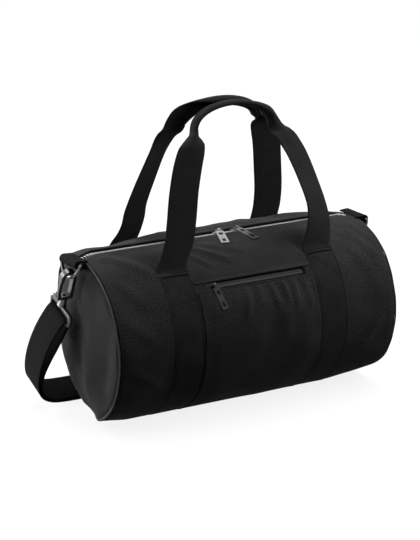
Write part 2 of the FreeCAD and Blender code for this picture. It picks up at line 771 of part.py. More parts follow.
def hook_frame():
    """Where the hook hangs in the middle of the ring's bow, turned by the strap's tilt."""
    tilt = math.radians(d.strap_tilt)
    lean = Rotation(Vector(0, 1, 0), d.ring_lean)
    bow = lean.multVec(Vector(0, 0, -d.ring_depth))
    turned = Rotation(Vector(1, 0, 0), d.strap_tilt)
    # the ring's wire crosses the tilted crook at a slant, so it needs more height there
    wire = d.ring_wire / 2 / math.cos(tilt) + d.hook_thickness / 2 * math.tan(tilt)
    seat = d.crook_inner - wire - d.crook_room
    return Placement(ring_centre() + bow - turned.multVec(Vector(0, 0, seat)), turned)


def hook_body():
    """The crook, spine and nose of a swivel hook, with ears for the gate and a bore for the swivel."""
    half = "hook_thickness / 2"
    thick = (f"-{half}", half)
    wide = (f"-{half} - overrun", f"{half} + overrun")
    inner, outer = "crook_inner", "crook_outer"
    arch = rod("crook_round", "y", outer, *thick, ("0", "0"))
    upper = box("crook_upper", (f"-{outer}", outer), thick, ("0", outer))
    spine = box("hook_spine", (inner, outer), thick, ("-hook_length", "0"))
    nose = box("hook_nose", (f"-{outer}", f"-{inner}"), thick, ("-nose_drop", "0"))
    foot = box("hook_foot", (f"-{outer}", outer), thick, ("-hook_length - hook_base", "-hook_length"))
    crook = boolean("MultiCommon", "crook_half", arch, upper)
    ear = "gate_thickness / 2 + gate_clearance"
    ears = []
    for name, span in (("front", (f"-{half}", f"-({ear})")), ("rear", (ear, half))):
        levels = ("-hook_length", "-hook_length + hook_base")
        ears.append(box(f"gate_{name}_ear", (f"-{outer}", f"-{inner}"), span, levels))
    pin = rod("gate_pin_bar", "y", "gate_pin / 2", *thick, ("-(crook_inner + crook_outer) / 2", GATE_PIN_Z))
    whole = boolean("MultiFuse", "hook_whole", crook, spine, nose, foot, pin, *ears)
    hole = rod("crook_hole", "y", inner, *wide, ("0", "0"))
    bore = rod(
        "swivel_bore",
        "z",
        "neck_radius + gate_clearance",
        "-hook_length - hook_base - overrun",
        "-hook_length",
        ("0", "0"),
    )
    body = boolean("Cut", "left_hook_body", whole, boolean("MultiFuse", "hook_holes", hole, bore))
    body.Placement = hook_frame()
    keep(body, "left_hook_body")
    mirrored("right_hook_body", body)


GATE_PIN_Z = "-hook_length + gate_pin_height"


def hook_gate():
    """The sprung tongue that closes the hook: it turns on the pin and stops under the nose."""
    body = doc.addObject("PartDesign::Body", "left_hook_gate")
    length = "hook_length - gate_pin_height + gate_heel - nose_drop - gate_clearance"
    middle = "(crook_inner + crook_outer) / 2"
    place = (f"-{middle}", f"-nose_drop - gate_clearance - ({length}) / 2", "0")
    outline = plane_sketch(body, "gate_outline", "XZ_Plane", place)
    rectangle(outline, "gate_width", length)
    pad(body, "gate_bar", outline, "gate_thickness")
    bore = plane_sketch(body, "gate_bore_outline", "XZ_Plane", (f"-{middle}", GATE_PIN_Z, "0"))
    circle(bore, "gate_pin / 2 + gate_clearance")
    pocket(body, "gate_bore", bore)
    body.Placement = hook_frame()
    keep(body, "left_hook_gate")
    mirrored("right_hook_gate", body)


LOOP_TOP = "-hook_length - hook_base - gate_clearance - collar_height"
BAR_Z = f"{LOOP_TOP} - loop_height"
RIB_SHARES = (0.2, 0.5, 0.8)


def hook_loop():
    """The swivel: a headed neck, a ribbed collar and the square loop that holds the strap."""
    face = "-hook_length - hook_base - gate_clearance"
    neck = rod("swivel_neck", "z", "neck_radius", LOOP_TOP, "-hook_length + gate_clearance", ("0", "0"))
    head = rod(
        "swivel_head",
        "z",
        "head_radius",
        "-hook_length + gate_clearance",
        "-hook_length + gate_clearance + head_height",
        ("0", "0"),
    )
    collar = rod("swivel_collar", "z", "collar_radius", LOOP_TOP, face, ("0", "0"))
    ribs = []
    for number, share in enumerate(RIB_SHARES):
        low = f"{face} - collar_height * {share} - rib_proud / 2"
        rib_span = (low, f"{low} + rib_proud")
        ribs.append(rod(f"collar_rib_{number}", "z", "collar_radius + rib_proud", *rib_span, ("0", "0")))
    half = "loop_wire / 2"
    top = box(
        "loop_top",
        (f"-{half}", half),
        ("-loop_half_width", "loop_half_width"),
        (f"{LOOP_TOP} - loop_wire", LOOP_TOP),
    )
    sides = []
    for name, span in (
        ("front", ("-loop_half_width", "-loop_half_width + loop_wire")),
        ("rear", ("loop_half_width - loop_wire", "loop_half_width")),
    ):
        sides.append(box(f"loop_{name}_side", (f"-{half}", half), span, (f"{BAR_Z} - {half}", LOOP_TOP)))
    bar = rod("loop_bar", "y", half, "-loop_half_width", "loop_half_width", ("0", BAR_Z))
    loop = boolean("MultiFuse", "left_hook_loop", neck, head, collar, top, bar, *ribs, *sides)
    loop.Placement = hook_frame()
    keep(loop, "left_hook_loop")
    mirrored("right_hook_loop", loop)


# The strap's route at its two ends, as shares of how far it bulges out from the hook's bar and of
# its fall from the bar to the run behind the bag. The right end mirrors the outer layer; the
# inner layer is the doubled part between the left hook and the adjuster.
OUTER_SHARES = (
    (0.515, 0.9125),
    (0.82, 0.744),
    (1, 0.539),
    (0.982, 0.315),
    (0.694, 0.126),
    (-0.025, 0.0233),
    (-1.058, 0),
)
INNER_SHARES = (
    (-0.056, 0.9205),
    (0.191, 0.748),
    (0.528, 0.559),
    (0.739, 0.387),
    (0.703, 0.234),
    (0.371, 0.1075),
    (-0.204, 0.0441),
)
INNER_END_SHARE = -1.103
# The fold round a loop's bar keeps this share of the shorter run for each rounded corner.
CORNER_SHARE = 0.45


def rounded_route(points):
    """Straight runs joined by tangent arcs, each as large as its two runs allow.

    Gives a list of (kind, points) pieces and the smallest radius."""
    points = [Vector(x, -d.webbing_width / 2, z) for x, z in points]
    pieces = []
    start = points[0]
    radii = []
    for before, corner, after in zip(points, points[1:], points[2:]):
        into = (corner - before).normalize()
        out = (after - corner).normalize()
        turn = into.getAngle(out)
        cut = CORNER_SHARE * min((corner - before).Length, (after - corner).Length)
        radius = cut / math.tan(turn / 2)
        radii.append(radius)
        first = corner - into * cut
        last = corner + out * cut
        bisector = (out - into).normalize()
        middle = corner + bisector * (radius / math.cos(turn / 2) - radius)
        pieces.append(("line", (start, first)))
        pieces.append(("arc", (first, middle, last)))
        start = last
    pieces.append(("line", (start, points[-1])))
    return pieces, min(radii)


def piece_normals(kind, points):
    """The sideways direction at each point of a piece of a route."""
    if kind == "line":
        along = (points[1] - points[0]).normalize()
        return [Vector(-along.z, 0, along.x)] * 2
    arc = Part.Arc(*points)
    normals = []
    for point in points:
        along = Vector(*arc.tangent(arc.parameter(point))[0])
        normals.append(Vector(-along.z, 0, along.x))
    return normals


def ribbon(label, points, placement):
    """A strip of webbing that follows a route in a plane, its width across that plane."""
    pieces, tightest = rounded_route(points)
    length = 0
    sides = []
    for offset in (d.webbing_thickness / 2, -d.webbing_thickness / 2):
        edges = []
        for kind, spots in pieces:
            moved = [spot + normal * offset for spot, normal in zip(spots, piece_normals(kind, spots))]
            edges.append(Part.LineSegment(*moved) if kind == "line" else Part.Arc(*moved))
        sides.append([edge.toShape() for edge in edges])
    for kind, spots in pieces:
        length += (Part.LineSegment(*spots) if kind == "line" else Part.Arc(*spots)).length()
    caps = []
    for index in (0, -1):
        ends = [side[index].Vertexes[index].Point for side in sides]
        caps.append(Part.LineSegment(*ends).toShape())
    outline = Part.Wire(Part.__sortEdges__(sides[0] + [caps[1]] + sides[1] + [caps[0]]))
    solid = Part.Face(outline).extrude(Vector(0, d.webbing_width, 0))
    share = solid.Volume / (length * d.webbing_width * d.webbing_thickness)
    print(f"{label}: length {length:.1f}, tightest radius {tightest:.1f}, volume over section {share:.4f}")
    solid_feature(label, solid, placement)


def hook_bar():
    """The strap bar of the left hook, in the strap plane: X and height up the plane."""
    frame = hook_frame()
    depth = d.hook_length + d.hook_base + d.gate_clearance + d.collar_height + d.loop_height
    spot = frame.multVec(Vector(0, 0, -depth))
    local = Rotation(Vector(1, 0, 0), -d.strap_tilt).multVec(spot)
    return local.x, local.z, local.y


def strap_plane():
    """The tilted plane that the hooks and the whole strap lie in."""
    turned = Rotation(Vector(1, 0, 0), d.strap_tilt)
    return Placement(turned.multVec(Vector(0, hook_bar()[2], 0)), turned)


def run_level():
    """Height up the tilted plane at which the strap's front edge clears the floor."""
    tilt = math.radians(d.strap_tilt)
    front_edge = (hook_bar()[2] - d.webbing_width / 2) * math.sin(tilt)
    return (d.strap_floor_gap - front_edge) / math.cos(tilt) + d.webbing_thickness / 2


def run_end():
    return d.barrel_length / 2 - d.run_inset


def run_y():
    """Middle of the strap behind the bag, where it lies flat beyond the barrel's underside."""
    below = d.barrel_height - d.barrel_radius - d.run_gap - d.webbing_width / 2
    return math.sqrt(max(d.barrel_radius**2 - below**2, 0)) + d.webbing_width / 2 - d.webbing_thickness


def fall_route(shares):
    """Points of one layer of the left fall, from the bar down to the run."""
    bar_x, bar_z, _ = hook_bar()
    level = run_level()
    return [(bar_x - d.strap_bulge * out, level + (bar_z - level) * up) for out, up in shares]


RUN_STEPS = 8


def run_sections(lift, start, stop):
    """Sections of the strap behind the bag: tilted at its ends, flat and straight between.

    Each is a rectangle across the strap, raised by lift from the outer layer."""
    tilted = strap_plane()
    end = tilted.multVec(Vector(0, 0, run_level()))
    flat = Vector(0, run_y(), d.run_height)
    far = run_end()
    places = []
    for step in range(RUN_STEPS):
        places.append((-far + d.flat_start * step / RUN_STEPS, step / RUN_STEPS))
    places.append((d.flat_start - far, 1))
    for step in range(RUN_STEPS + 1):
        places.append((far - d.flat_end + d.flat_end * step / RUN_STEPS, 1 - step / RUN_STEPS))
    places = [place for place in places if place[0] < stop - d.overrun]
    places = [(start, places[0][1])] + places[1:] + [(stop, 1 if stop < far - d.flat_end else 0)]
    wires = []
    for x, share in places:
        ease = (1 - math.cos(math.pi * share)) / 2
        tilt = math.radians(d.strap_tilt) * (1 - ease)
        across = Vector(0, math.cos(tilt), math.sin(tilt)) * (d.webbing_width / 2)
        up = Vector(0, -math.sin(tilt), math.cos(tilt))
        spot = end + (flat - end) * ease + up * lift
        spot.x = x
        half = up * (d.webbing_thickness / 2)
        corners = [spot - across - half, spot + across - half, spot + across + half, spot - across + half]
        wires.append(Part.makePolygon(corners + corners[:1]))
    return wires


def bar_fold(bar_x, bar_z):
    """The two corners of the fold over a hook's bar, from the outer to the inner layer."""
    reach = d.loop_wire / 2 + d.bar_room + d.webbing_thickness / 2
    return [(bar_x - reach, bar_z + reach), (bar_x + reach, bar_z + reach)]


def shoulder_strap():
    """The strap's stretches: the doubled left fall, the two layers behind the bag, the right rise."""
    bar_x, bar_z, _ = hook_bar()
    lift = d.webbing_thickness + d.layer_gap
    fold = bar_fold(bar_x, bar_z)
    level = run_level()
    end = run_end()
    outer = [(-end, level)] + list(reversed(fall_route(OUTER_SHARES)))
    inner_end = (bar_x - d.strap_bulge * INNER_END_SHARE, level + lift)
    inner = fall_route(INNER_SHARES) + [inner_end, (-end, level + lift)]
    ribbon("strap_left_fall", outer + fold + inner, strap_plane())
    start = -end + d.strap_joint_gap
    rear = run_sections(0, start, end - d.strap_joint_gap)
    solid_feature("strap_rear_run", Part.makeLoft(rear, True, True))
    tail_x = d.adjuster_x - d.adjuster_bar * 2
    doubled = run_sections(lift, start, tail_x - d.strap_joint_gap)
    solid_feature("strap_doubled_run", Part.makeLoft(doubled, True, True))
    rise = [(-x, z) for x, z in outer + fold]
    ribbon("strap_right_rise", rise + sewn_end(rise[-1], bar_z), strap_plane())
    tail_loop(tail_x, lift)
    adjuster()


# The sewn end hangs beside the strap below the bar: shares of the webbing's width down, and of
# its thickness out from the fold.
SEWN_END_SHARES = ((0.5, 1.1), (1, 2.4))


def sewn_end(corner, bar_z):
    points = []
    for down_share, out_share in SEWN_END_SHARES:
        points.append((corner[0] + d.webbing_thickness * out_share, bar_z - d.webbing_width * down_share))
    return points


def tail_loop(tail_x, lift):
    """The end of the doubled layer, folded round the adjuster's middle bar."""
    reach = d.adjuster_bar / 2 + d.layer_gap / 2 + d.webbing_thickness / 2
    low = d.run_height + lift
    far_x = d.adjuster_x + d.adjuster_bar + reach
    top = low + 2 * reach
    route = [(tail_x, low), (far_x, low), (far_x, top), (tail_x, top)]
    ribbon("strap_tail_loop", route, Placement(Vector(0, run_y(), 0), Rotation()))


def adjuster():
    """A three-bar slide: the strap runs over its outer bars and under its middle bar."""
    half = "adjuster_length / 2"
    inside = "webbing_width / 2 + layer_gap"
    across = (f"-({inside})", inside)
    under = "-webbing_thickness / 2 - layer_gap - adjuster_bar"
    middle = "1.5 * webbing_thickness + 1.5 * layer_gap"
    top = f"{middle} + adjuster_bar"
    low = (under, f"{under} + adjuster_bar")
    pieces = [
        box("adjuster_left_bar", (f"-{half}", f"-{half} + adjuster_rail"), across, low),
        box("adjuster_right_bar", (f"{half} - adjuster_rail", half), across, low),
        box("adjuster_middle_bar", ("-adjuster_bar", "adjuster_bar"), across, (middle, top)),
        box(
            "adjuster_front_rail",
            (f"-{half}", half),
            (f"-({inside}) - adjuster_rail", f"-({inside})"),
            (under, top),
        ),
        box("adjuster_rear_rail", (f"-{half}", half), (inside, f"{inside} + adjuster_rail"), (under, top)),
    ]
    slide = boolean("MultiFuse", "strap_adjuster", *pieces)
    slide.Placement = Placement(Vector(d.adjuster_x, run_y(), d.run_height), Rotation())
    keep(slide, "strap_adjuster")


def check_document():
    """Stop if any object failed or any piece has no sound shape."""
    for item in doc.Objects:
        if "Invalid" in item.State or "Error" in item.State:
            raise RuntimeError(f"{item.Name} failed: {item.State}")
    for item in subparts:
        if item.Shape.isNull() or not item.Shape.isValid():
            raise RuntimeError(f"{item.Label} has no valid shape")


main_panel()
ends()
body_webbing()
handles()
zips()
front_pocket()
strap_tabs()
d_rings()
hook_body()
hook_gate()
hook_loop()
shoulder_strap()
print(f"strap run: level {run_level():.2f}, y {run_y():.2f}, bar {hook_bar()}")
doc.recompute()
check_document()

os.makedirs("parts", exist_ok=True)
for item in subparts:
    item.Shape.exportStep(f"parts/{item.Label}.step")
print(f"{len(subparts)} pieces written")
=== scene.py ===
import math

import bpy
import numpy as np
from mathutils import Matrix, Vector


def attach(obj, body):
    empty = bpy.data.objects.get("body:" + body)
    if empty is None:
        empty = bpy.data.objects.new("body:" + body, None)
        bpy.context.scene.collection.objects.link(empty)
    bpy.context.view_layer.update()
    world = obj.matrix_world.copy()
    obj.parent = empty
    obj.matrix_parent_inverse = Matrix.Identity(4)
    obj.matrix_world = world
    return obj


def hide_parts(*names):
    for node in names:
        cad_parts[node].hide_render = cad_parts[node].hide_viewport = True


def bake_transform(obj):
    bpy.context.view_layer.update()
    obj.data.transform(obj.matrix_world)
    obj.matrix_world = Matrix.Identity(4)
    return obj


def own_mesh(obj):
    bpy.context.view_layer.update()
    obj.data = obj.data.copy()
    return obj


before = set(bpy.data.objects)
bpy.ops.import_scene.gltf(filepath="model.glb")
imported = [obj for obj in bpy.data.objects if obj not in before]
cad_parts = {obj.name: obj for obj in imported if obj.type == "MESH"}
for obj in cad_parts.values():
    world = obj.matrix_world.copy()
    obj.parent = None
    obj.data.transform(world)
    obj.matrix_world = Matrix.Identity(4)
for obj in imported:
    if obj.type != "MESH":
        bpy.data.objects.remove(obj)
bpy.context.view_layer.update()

# Lengths below are in millimetres, in the frame of the solids: x along the barrel to the right, -y
# to the front, z up from the floor. They become metres when a mesh is made. Turns are degrees round
# the barrel, from the top to the front.
MM = 0.001
SIDES = {-1: "left", 1: "right"}
# The barrel: its radius, its axis above the floor, half its length and its flattened underside,
# with the rounding of the edge there.
BARREL = 102.0
AXIS = 98.0
HALF = 188.0
FLOOR = 1.8
FLOOR_EDGE = 1.1
# The middle of each sewn webbing strip along x, the webbing's width and its edge seams.
STRIP = 100.0
WEBBING = 40.0
EDGE_SEAM = 17.2
# The box seam at a strip's ends, in degrees from the top, and half the width of its cross.
BOX_TOP, BOX_FOOT, BOX_HALF = 40.5, 60.0, 16
# The pocket: half its width, its zip's place in degrees from the top, the radius of the zip's tapes
# and the slot in the shell, in x and in degrees.
POCKET_HALF = 79.4
POCKET_ZIP = 51
TAPE_RADIUS = 99.2
SLOT_LEFT, SLOT_RIGHT = -62, 70
SLOT_TOP, SLOT_FOOT = 48.2, 53.8


def smooth(share):
    """A soft step from 0 to 1."""
    share = np.clip(share, 0, 1)
    return share * share * (3 - 2 * share)


def hump(distance, reach):
    """1 in the middle, falling off softly on both sides."""
    return np.exp(-((distance / reach) ** 2))


def spans(ends, counts):
    """Places from the first end to the last, evenly spaced between neighbours; a shared end comes once."""
    runs = [np.linspace(low, high, count) for low, high, count in zip(ends, ends[1:], counts)]
    return np.concatenate([runs[0]] + [run[1:] for run in runs[1:]])


# Materials


class Thread:
    """A socket of a finish, with arithmetic that adds Math nodes."""

    def __init__(self, finish, socket):
        self.finish, self.socket = finish, socket

    def maths(self, operation, first, second):
        return self.finish.node("ShaderNodeMath", {"operation": operation}, {0: first, 1: second})

    def __add__(self, other):
        return self.maths("ADD", self, other)

    def __sub__(self, other):
        return self.maths("SUBTRACT", self, other)

    def __mul__(self, other):
        return self.maths("MULTIPLY", self, other)

    def __radd__(self, other):
        return self.maths("ADD", other, self)

    def __rsub__(self, other):
        return self.maths("SUBTRACT", other, self)

    def __rmul__(self, other):
        return self.maths("MULTIPLY", other, self)


class Finish:
    """A material, with its constant values set on the shader's own sockets."""

    def __init__(self, name, **constants):
        self.material = bpy.data.materials.new(name)
        self.material.use_nodes = True
        self.tree = self.material.node_tree
        self.shader = self.tree.nodes["Principled BSDF"]
        for socket, value in constants.items():
            self.shader.inputs[socket.replace("_", " ")].default_value = value

    def node(self, kind, settings, sockets, out=0):
        """A node of a kind, its settings first, then its sockets' values or links."""
        made = self.tree.nodes.new(kind)
        for key, value in settings.items():
            setattr(made, key, value)
        for key, value in sockets.items():
            self.feed(made.inputs[key], value)
        return Thread(self, made.outputs[out]) if made.outputs else None

    def feed(self, socket, value):
        """A link where the value is a thread, or else the value itself."""
        if isinstance(value, Thread):
            self.tree.links.new(value.socket, socket)
        else:
            socket.default_value = value

    def dress(self, share, dark, light, rough, height, depth):
        """The finished material: colour from dark to light by share, roughness, and relief in metres."""
        relief = self.node("ShaderNodeBump", {}, {"Strength": 1.0, "Distance": depth, "Height": height})
        looks = {"Base Color": self.shades(share, dark, light), "Roughness": rough, "Normal": relief}
        for socket, value in looks.items():
            self.feed(self.shader.inputs[socket], value)
        return self.material

    def lay(self):
        """The place on the flat cloth in metres, as it was cut, and its parts across and along."""
        flat = self.node("ShaderNodeAttribute", {"attribute_name": "lay"}, {}, out="Vector")
        across, along = (self.node("ShaderNodeSeparateXYZ", {}, {0: flat}, out=part) for part in (0, 1))
        return flat, across, along

    def place(self):
        """The place in the object's own frame."""
        return self.node("ShaderNodeTexCoord", {}, {}, out="Object")

    def wave(self, value, pitch):
        """A sine along value, from -1 to 1, that repeats every pitch metres."""
        return self.node("ShaderNodeMath", {"operation": "SINE"}, {0: value * (2 * math.pi / pitch)})

    def mottle(self, where, scale, detail=3.0):
        """Soft noise about 0.5; a larger scale is finer."""
        return self.node("ShaderNodeTexNoise", {}, {"Vector": where, "Scale": scale, "Detail": detail})

    def shades(self, share, dark, light):
        """A colour between dark and light."""
        return self.node(
            "ShaderNodeMix", {"data_type": "RGBA"}, {0: share, 6: dark + (1,), 7: light + (1,)}, out=2
        )


def woven_polyester():
    """Black matt cloth in a plain weave, a little lighter on the crowns of its threads."""
    cloth = Finish("black_woven_polyester", Specular_IOR_Level=0.03, Sheen_Weight=0.05, Sheen_Roughness=0.5)
    flat, across, along = cloth.lay()
    pitch = 0.00095
    weave = cloth.wave(across, pitch) * cloth.wave(along, pitch)
    slub, wide = cloth.mottle(flat, 700.0, 2.0), cloth.mottle(flat, 26.0)
    light = (weave * 0.25 + 0.4) + (slub - 0.5) * 3.6 + (wide - 0.5) * 0.6
    rough = 0.7 + wide * 0.12 + slub * 0.12
    height = weave * 0.5 + slub * 0.55
    return cloth.dress(light, (0.006, 0.006, 0.0062), (0.034, 0.034, 0.0352), rough, height, 0.00028)


def ribbed_webbing(name, painted_light_share, nap):
    """Woven strap: cross ribs close together and warp lines along it; the share paints each copy lighter or
    darker for the light that falls on it.
    """
    web = Finish(name, Specular_IOR_Level=0.02, Sheen_Weight=nap, Sheen_Roughness=0.45)
    flat, across, along = web.lay()
    rib, warp = web.wave(along, 0.0017), web.wave(across, 0.0013)
    fuzz, wide = web.mottle(flat, 500.0), web.mottle(flat, 40.0)
    # Painted light and shade: the share makes this copy's colour lighter or darker to stand in for the light
    # that falls on it.
    light = ((rib * 0.22 + warp * 0.14) + (fuzz * 0.4 + wide * 0.5)) * painted_light_share
    rough = 0.66 + fuzz * 0.16 + wide * 0.08
    height = rib * 0.45 + warp * 0.3 + fuzz * 0.4
    return web.dress(light, (0.004, 0.004, 0.0042), (0.023, 0.023, 0.0238), rough, height, 0.0003)


def bias_piping():
    """The rim's cord cover: a fine diagonal weave."""
    edge = Finish("black_bias_piping", Specular_IOR_Level=0.22, Sheen_Weight=0.1, Sheen_Roughness=0.4)
    flat, across, along = edge.lay()
    twill = edge.wave(across + along, 0.0014)
    fuzz = edge.mottle(flat, 600.0)
    light, height = twill * 0.3 + fuzz * 0.7, twill * 0.5 + fuzz * 0.5
    rough = 0.55 + fuzz * 0.2
    return edge.dress(light, (0.008, 0.008, 0.0084), (0.03, 0.03, 0.0315), rough, height, 0.00022)


def lining_cloth():
    """Thin charcoal taffeta of the pouch and the seam bindings."""
    thin = Finish("charcoal_lining", Specular_IOR_Level=0.45)
    flat, _, along = thin.lay()
    grain = thin.wave(along, 0.0008) * 0.5 + 0.5
    wide = thin.mottle(flat, 60.0)
    light = grain * 0.4 + wide * 0.6
    return thin.dress(light, (0.016, 0.016, 0.017), (0.04, 0.04, 0.042), 0.45 + wide * 0.2, grain, 0.0001)


def zip_tape():
    """Herringbone tape beside the teeth."""
    tape = Finish("black_zip_tape", Specular_IOR_Level=0.08)
    flat, across, along = tape.lay()
    lean = tape.wave(across, 0.0032) * 0.0009
    bone = tape.wave(along + lean, 0.0011)
    fuzz = tape.mottle(flat, 500.0)
    light, height = bone * 0.3 + fuzz * 0.7, bone * 0.6 + fuzz * 0.4
    rough = 0.6 + fuzz * 0.2
    return tape.dress(light, (0.003, 0.003, 0.0032), (0.013, 0.013, 0.0135), rough, height, 0.0002)


def sewing_thread():
    """Polyester thread, two plies twisted."""
    ply = Finish("black_sewing_thread", Specular_IOR_Level=0.08)
    _, across, along = ply.lay()
    twist = ply.wave(along + across, 0.0009) * 0.5 + 0.5
    rough = 0.4 + twist * 0.15
    return ply.dress(twist, (0.0012, 0.0012, 0.0013), (0.005, 0.005, 0.0052), rough, twist, 0.00015)


def metal(name, dark, light, rough, bare=0.0):
    """Cast metal with a fine grain, soft stains and, where bare is set, paler worn edges."""
    cast = Finish(name, Specular_IOR_Level=0.5, Metallic=1.0)
    where = cast.place()
    grain, stain = cast.mottle(where, 900.0, 4.0), cast.mottle(where, 130.0)
    share = grain * 0.45 + stain * 0.55
    if bare:
        edge = cast.node("ShaderNodeNewGeometry", {}, {}, out="Pointiness")
        worn = cast.node("ShaderNodeMapRange", {}, {0: edge, 1: 0.515, 2: 0.58, 3: 0.0, 4: bare})
        share = share + worn * (0.4 + grain)
    uneven = rough + (grain - 0.5) * 0.16 + (stain - 0.5) * 0.12
    return cast.dress(share, dark, light, uneven, grain, 0.00004)


def coated(name, dark, light, rough):
    """Moulded or lacquered black: fine pebble, slight haze."""
    hard = Finish(name, Specular_IOR_Level=0.55)
    where = hard.place()
    pebble, haze = hard.mottle(where, 1400.0, 2.0), hard.mottle(where, 90.0)
    uneven = rough + haze * 0.14 + (pebble - 0.5) * 0.1
    return hard.dress(haze * 0.7 + pebble * 0.3, dark, light, uneven, pebble, 0.00005)


CLOTH = woven_polyester()
# Three copies of one black webbing: painted light on the handles and sewn strips, painted shade on the
# hanging strap and, darker still, on the strap tabs.
WEB_PAINTED_LIGHTER = ribbed_webbing("black_ribbed_webbing_painted_lighter", 1.5, 0.03)
STRAP_WEB_PAINTED_SHADE = ribbed_webbing("black_strap_webbing_painted_shade", 0.42, 0.0)
TAB_WEB_PAINTED_SHADE = ribbed_webbing("black_tab_webbing_painted_shade", 0.25, 0.0)
PIPING = bias_piping()
LINING = lining_cloth()
TAPE = zip_tape()
THREAD = sewing_thread()
NICKEL = metal("nickel_zip_teeth", (0.22, 0.22, 0.225), (0.6, 0.6, 0.62), 0.3)
GUNMETAL = metal("satin_nickel", (0.03, 0.03, 0.031), (0.2, 0.2, 0.206), 0.34, bare=1.2)
BLACK_PLATE = metal("black_plated_metal", (0.035, 0.035, 0.037), (0.13, 0.13, 0.135), 0.3, bare=0.8)
DARK_PLATE = metal("dark_plated_metal", (0.007, 0.007, 0.0074), (0.045, 0.045, 0.047), 0.34, bare=1.8)
COIL = coated("black_zip_coil", (0.022, 0.022, 0.023), (0.085, 0.085, 0.088), 0.34)
PLASTIC = coated("black_moulded_plastic", (0.008, 0.008, 0.0084), (0.02, 0.02, 0.021), 0.36)


# Mesh making


def piece(name, points, faces, finish, lay):
    """A mesh object from points in millimetres; lay is each point's place on the flat cloth."""
    mesh = bpy.data.meshes.new(name)
    mesh.from_pydata((np.asarray(points, float).reshape(-1, 3) * MM).tolist(), [], faces)
    mesh.validate()
    mesh.update()
    mesh.polygons.foreach_set("use_smooth", [True] * len(mesh.polygons))
    spread = np.zeros((len(mesh.vertices), 3), np.float32)
    spread[:, :2] = np.asarray(lay, float).reshape(-1, 2) * MM
    mesh.attributes.new("lay", "FLOAT_VECTOR", "POINT").data.foreach_set("vector", spread.ravel())
    mesh.materials.append(finish)
    made = bpy.data.objects.new(name, mesh)
    bpy.context.scene.collection.objects.link(made)
    return made


def on_bag(made, node):
    """A piece that stays with the bag's body and shows in place of one of its solids."""
    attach(made, "bag_body")
    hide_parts(node)


def grid_faces(rows, columns, ring=False, closed=False, left_out=None):
    """Quads of a grid whose point (i, j) has the number i * columns + j; ring joins the last column
    to the first, closed the last row to the first."""
    faces = []
    for i in range(rows if closed else rows - 1):
        here, above = i * columns, (i + 1) % rows * columns
        for j in range(columns if ring else columns - 1):
            if left_out is not None and left_out(i, j):
                continue
            after = (j + 1) % columns
            faces.append((here + j, here + after, above + after, above + j))
    return faces


def capped_faces(rows, around):
    """Quads over rings of points, each ring closed on itself, and a face on either end."""
    faces = grid_faces(rows, around, ring=True)
    faces.append(tuple(reversed(range(around))))
    faces.append(tuple((rows - 1) * around + j for j in range(around)))
    return faces


def flipped(faces):
    """The same faces, looking the other way."""
    return [tuple(reversed(face)) for face in faces]


def shifted(faces, by):
    """The same faces on points that come later in the list."""
    return [tuple(by + corner for corner in face) for face in faces]


def thicken(made, depth, offset=-1.0):
    """A thickness for a cloth: inwards, or to both sides when the offset is 0."""
    layer = made.modifiers.new("cloth_thickness", "SOLIDIFY")
    layer.thickness = depth * MM
    layer.offset = offset
    layer.use_even_offset = False
    return made


def tube(name, rings, finish, lay):
    """Skin over rings of points, each ring closed on itself, with flat ends."""
    made = piece(name, rings, capped_faces(*rings.shape[:2]), finish, lay)
    for end in made.data.polygons[-2:]:
        end.use_smooth = False
    return made


def unit(rows):
    """Rows of directions, each brought to a length of 1."""
    return rows / np.linalg.norm(rows, axis=-1, keepdims=True)


def way_along(line):
    """The distance covered at each point of a line."""
    return np.concatenate([[0], np.cumsum(np.linalg.norm(np.diff(line, axis=0), axis=1))])


def read_off(places, way, rows):
    """Rows of numbers, given at distances along a way, read off at other places."""
    return np.stack([np.interp(places, way, column) for column in rows.T], axis=-1)


def through(knots, count):
    """A smooth line of count points through rows of numbers, evenly spread along the first three."""
    knots = np.asarray(knots, float)
    padded = np.vstack([2 * knots[0] - knots[1], knots, 2 * knots[-1] - knots[-2]])
    fine = []
    for k in range(1, len(padded) - 2):
        before, here, there, after = padded[k - 1 : k + 3]
        second = 2 * before - 5 * here + 4 * there - after
        third = 3 * here - before - 3 * there + after
        for t in np.linspace(0, 1, 24, endpoint=False):
            fine.append(0.5 * (2 * here + (there - before) * t + second * t * t + third * t**3))
    fine.append(knots[-1])
    fine = np.array(fine)
    way = way_along(fine[:, :3])
    return read_off(np.linspace(0, way[-1], count), way, fine)


# The share of a full turn that rolled webbing covers.
ROLLED = 0.96


def web_section(thick, columns=15):
    """Across and up places round a webbing's section: flat faces, a thicker edge, rounded sides."""
    half = WEBBING / 2
    top = np.linspace(-half + 0.7, half - 0.7, columns)
    swell = 0.5 * thick + 0.12 * smooth((np.abs(top) - half + 3.2) / 1.4)
    across = [*top, half - 0.2, half, half - 0.2, *top[::-1], -half + 0.2, -half, -half + 0.2]
    up = [*swell, 0.36 * thick, 0.0, -0.36 * thick, *(-swell[::-1]), -0.36 * thick, 0.0, 0.36 * thick]
    return np.array(across), np.array(up)


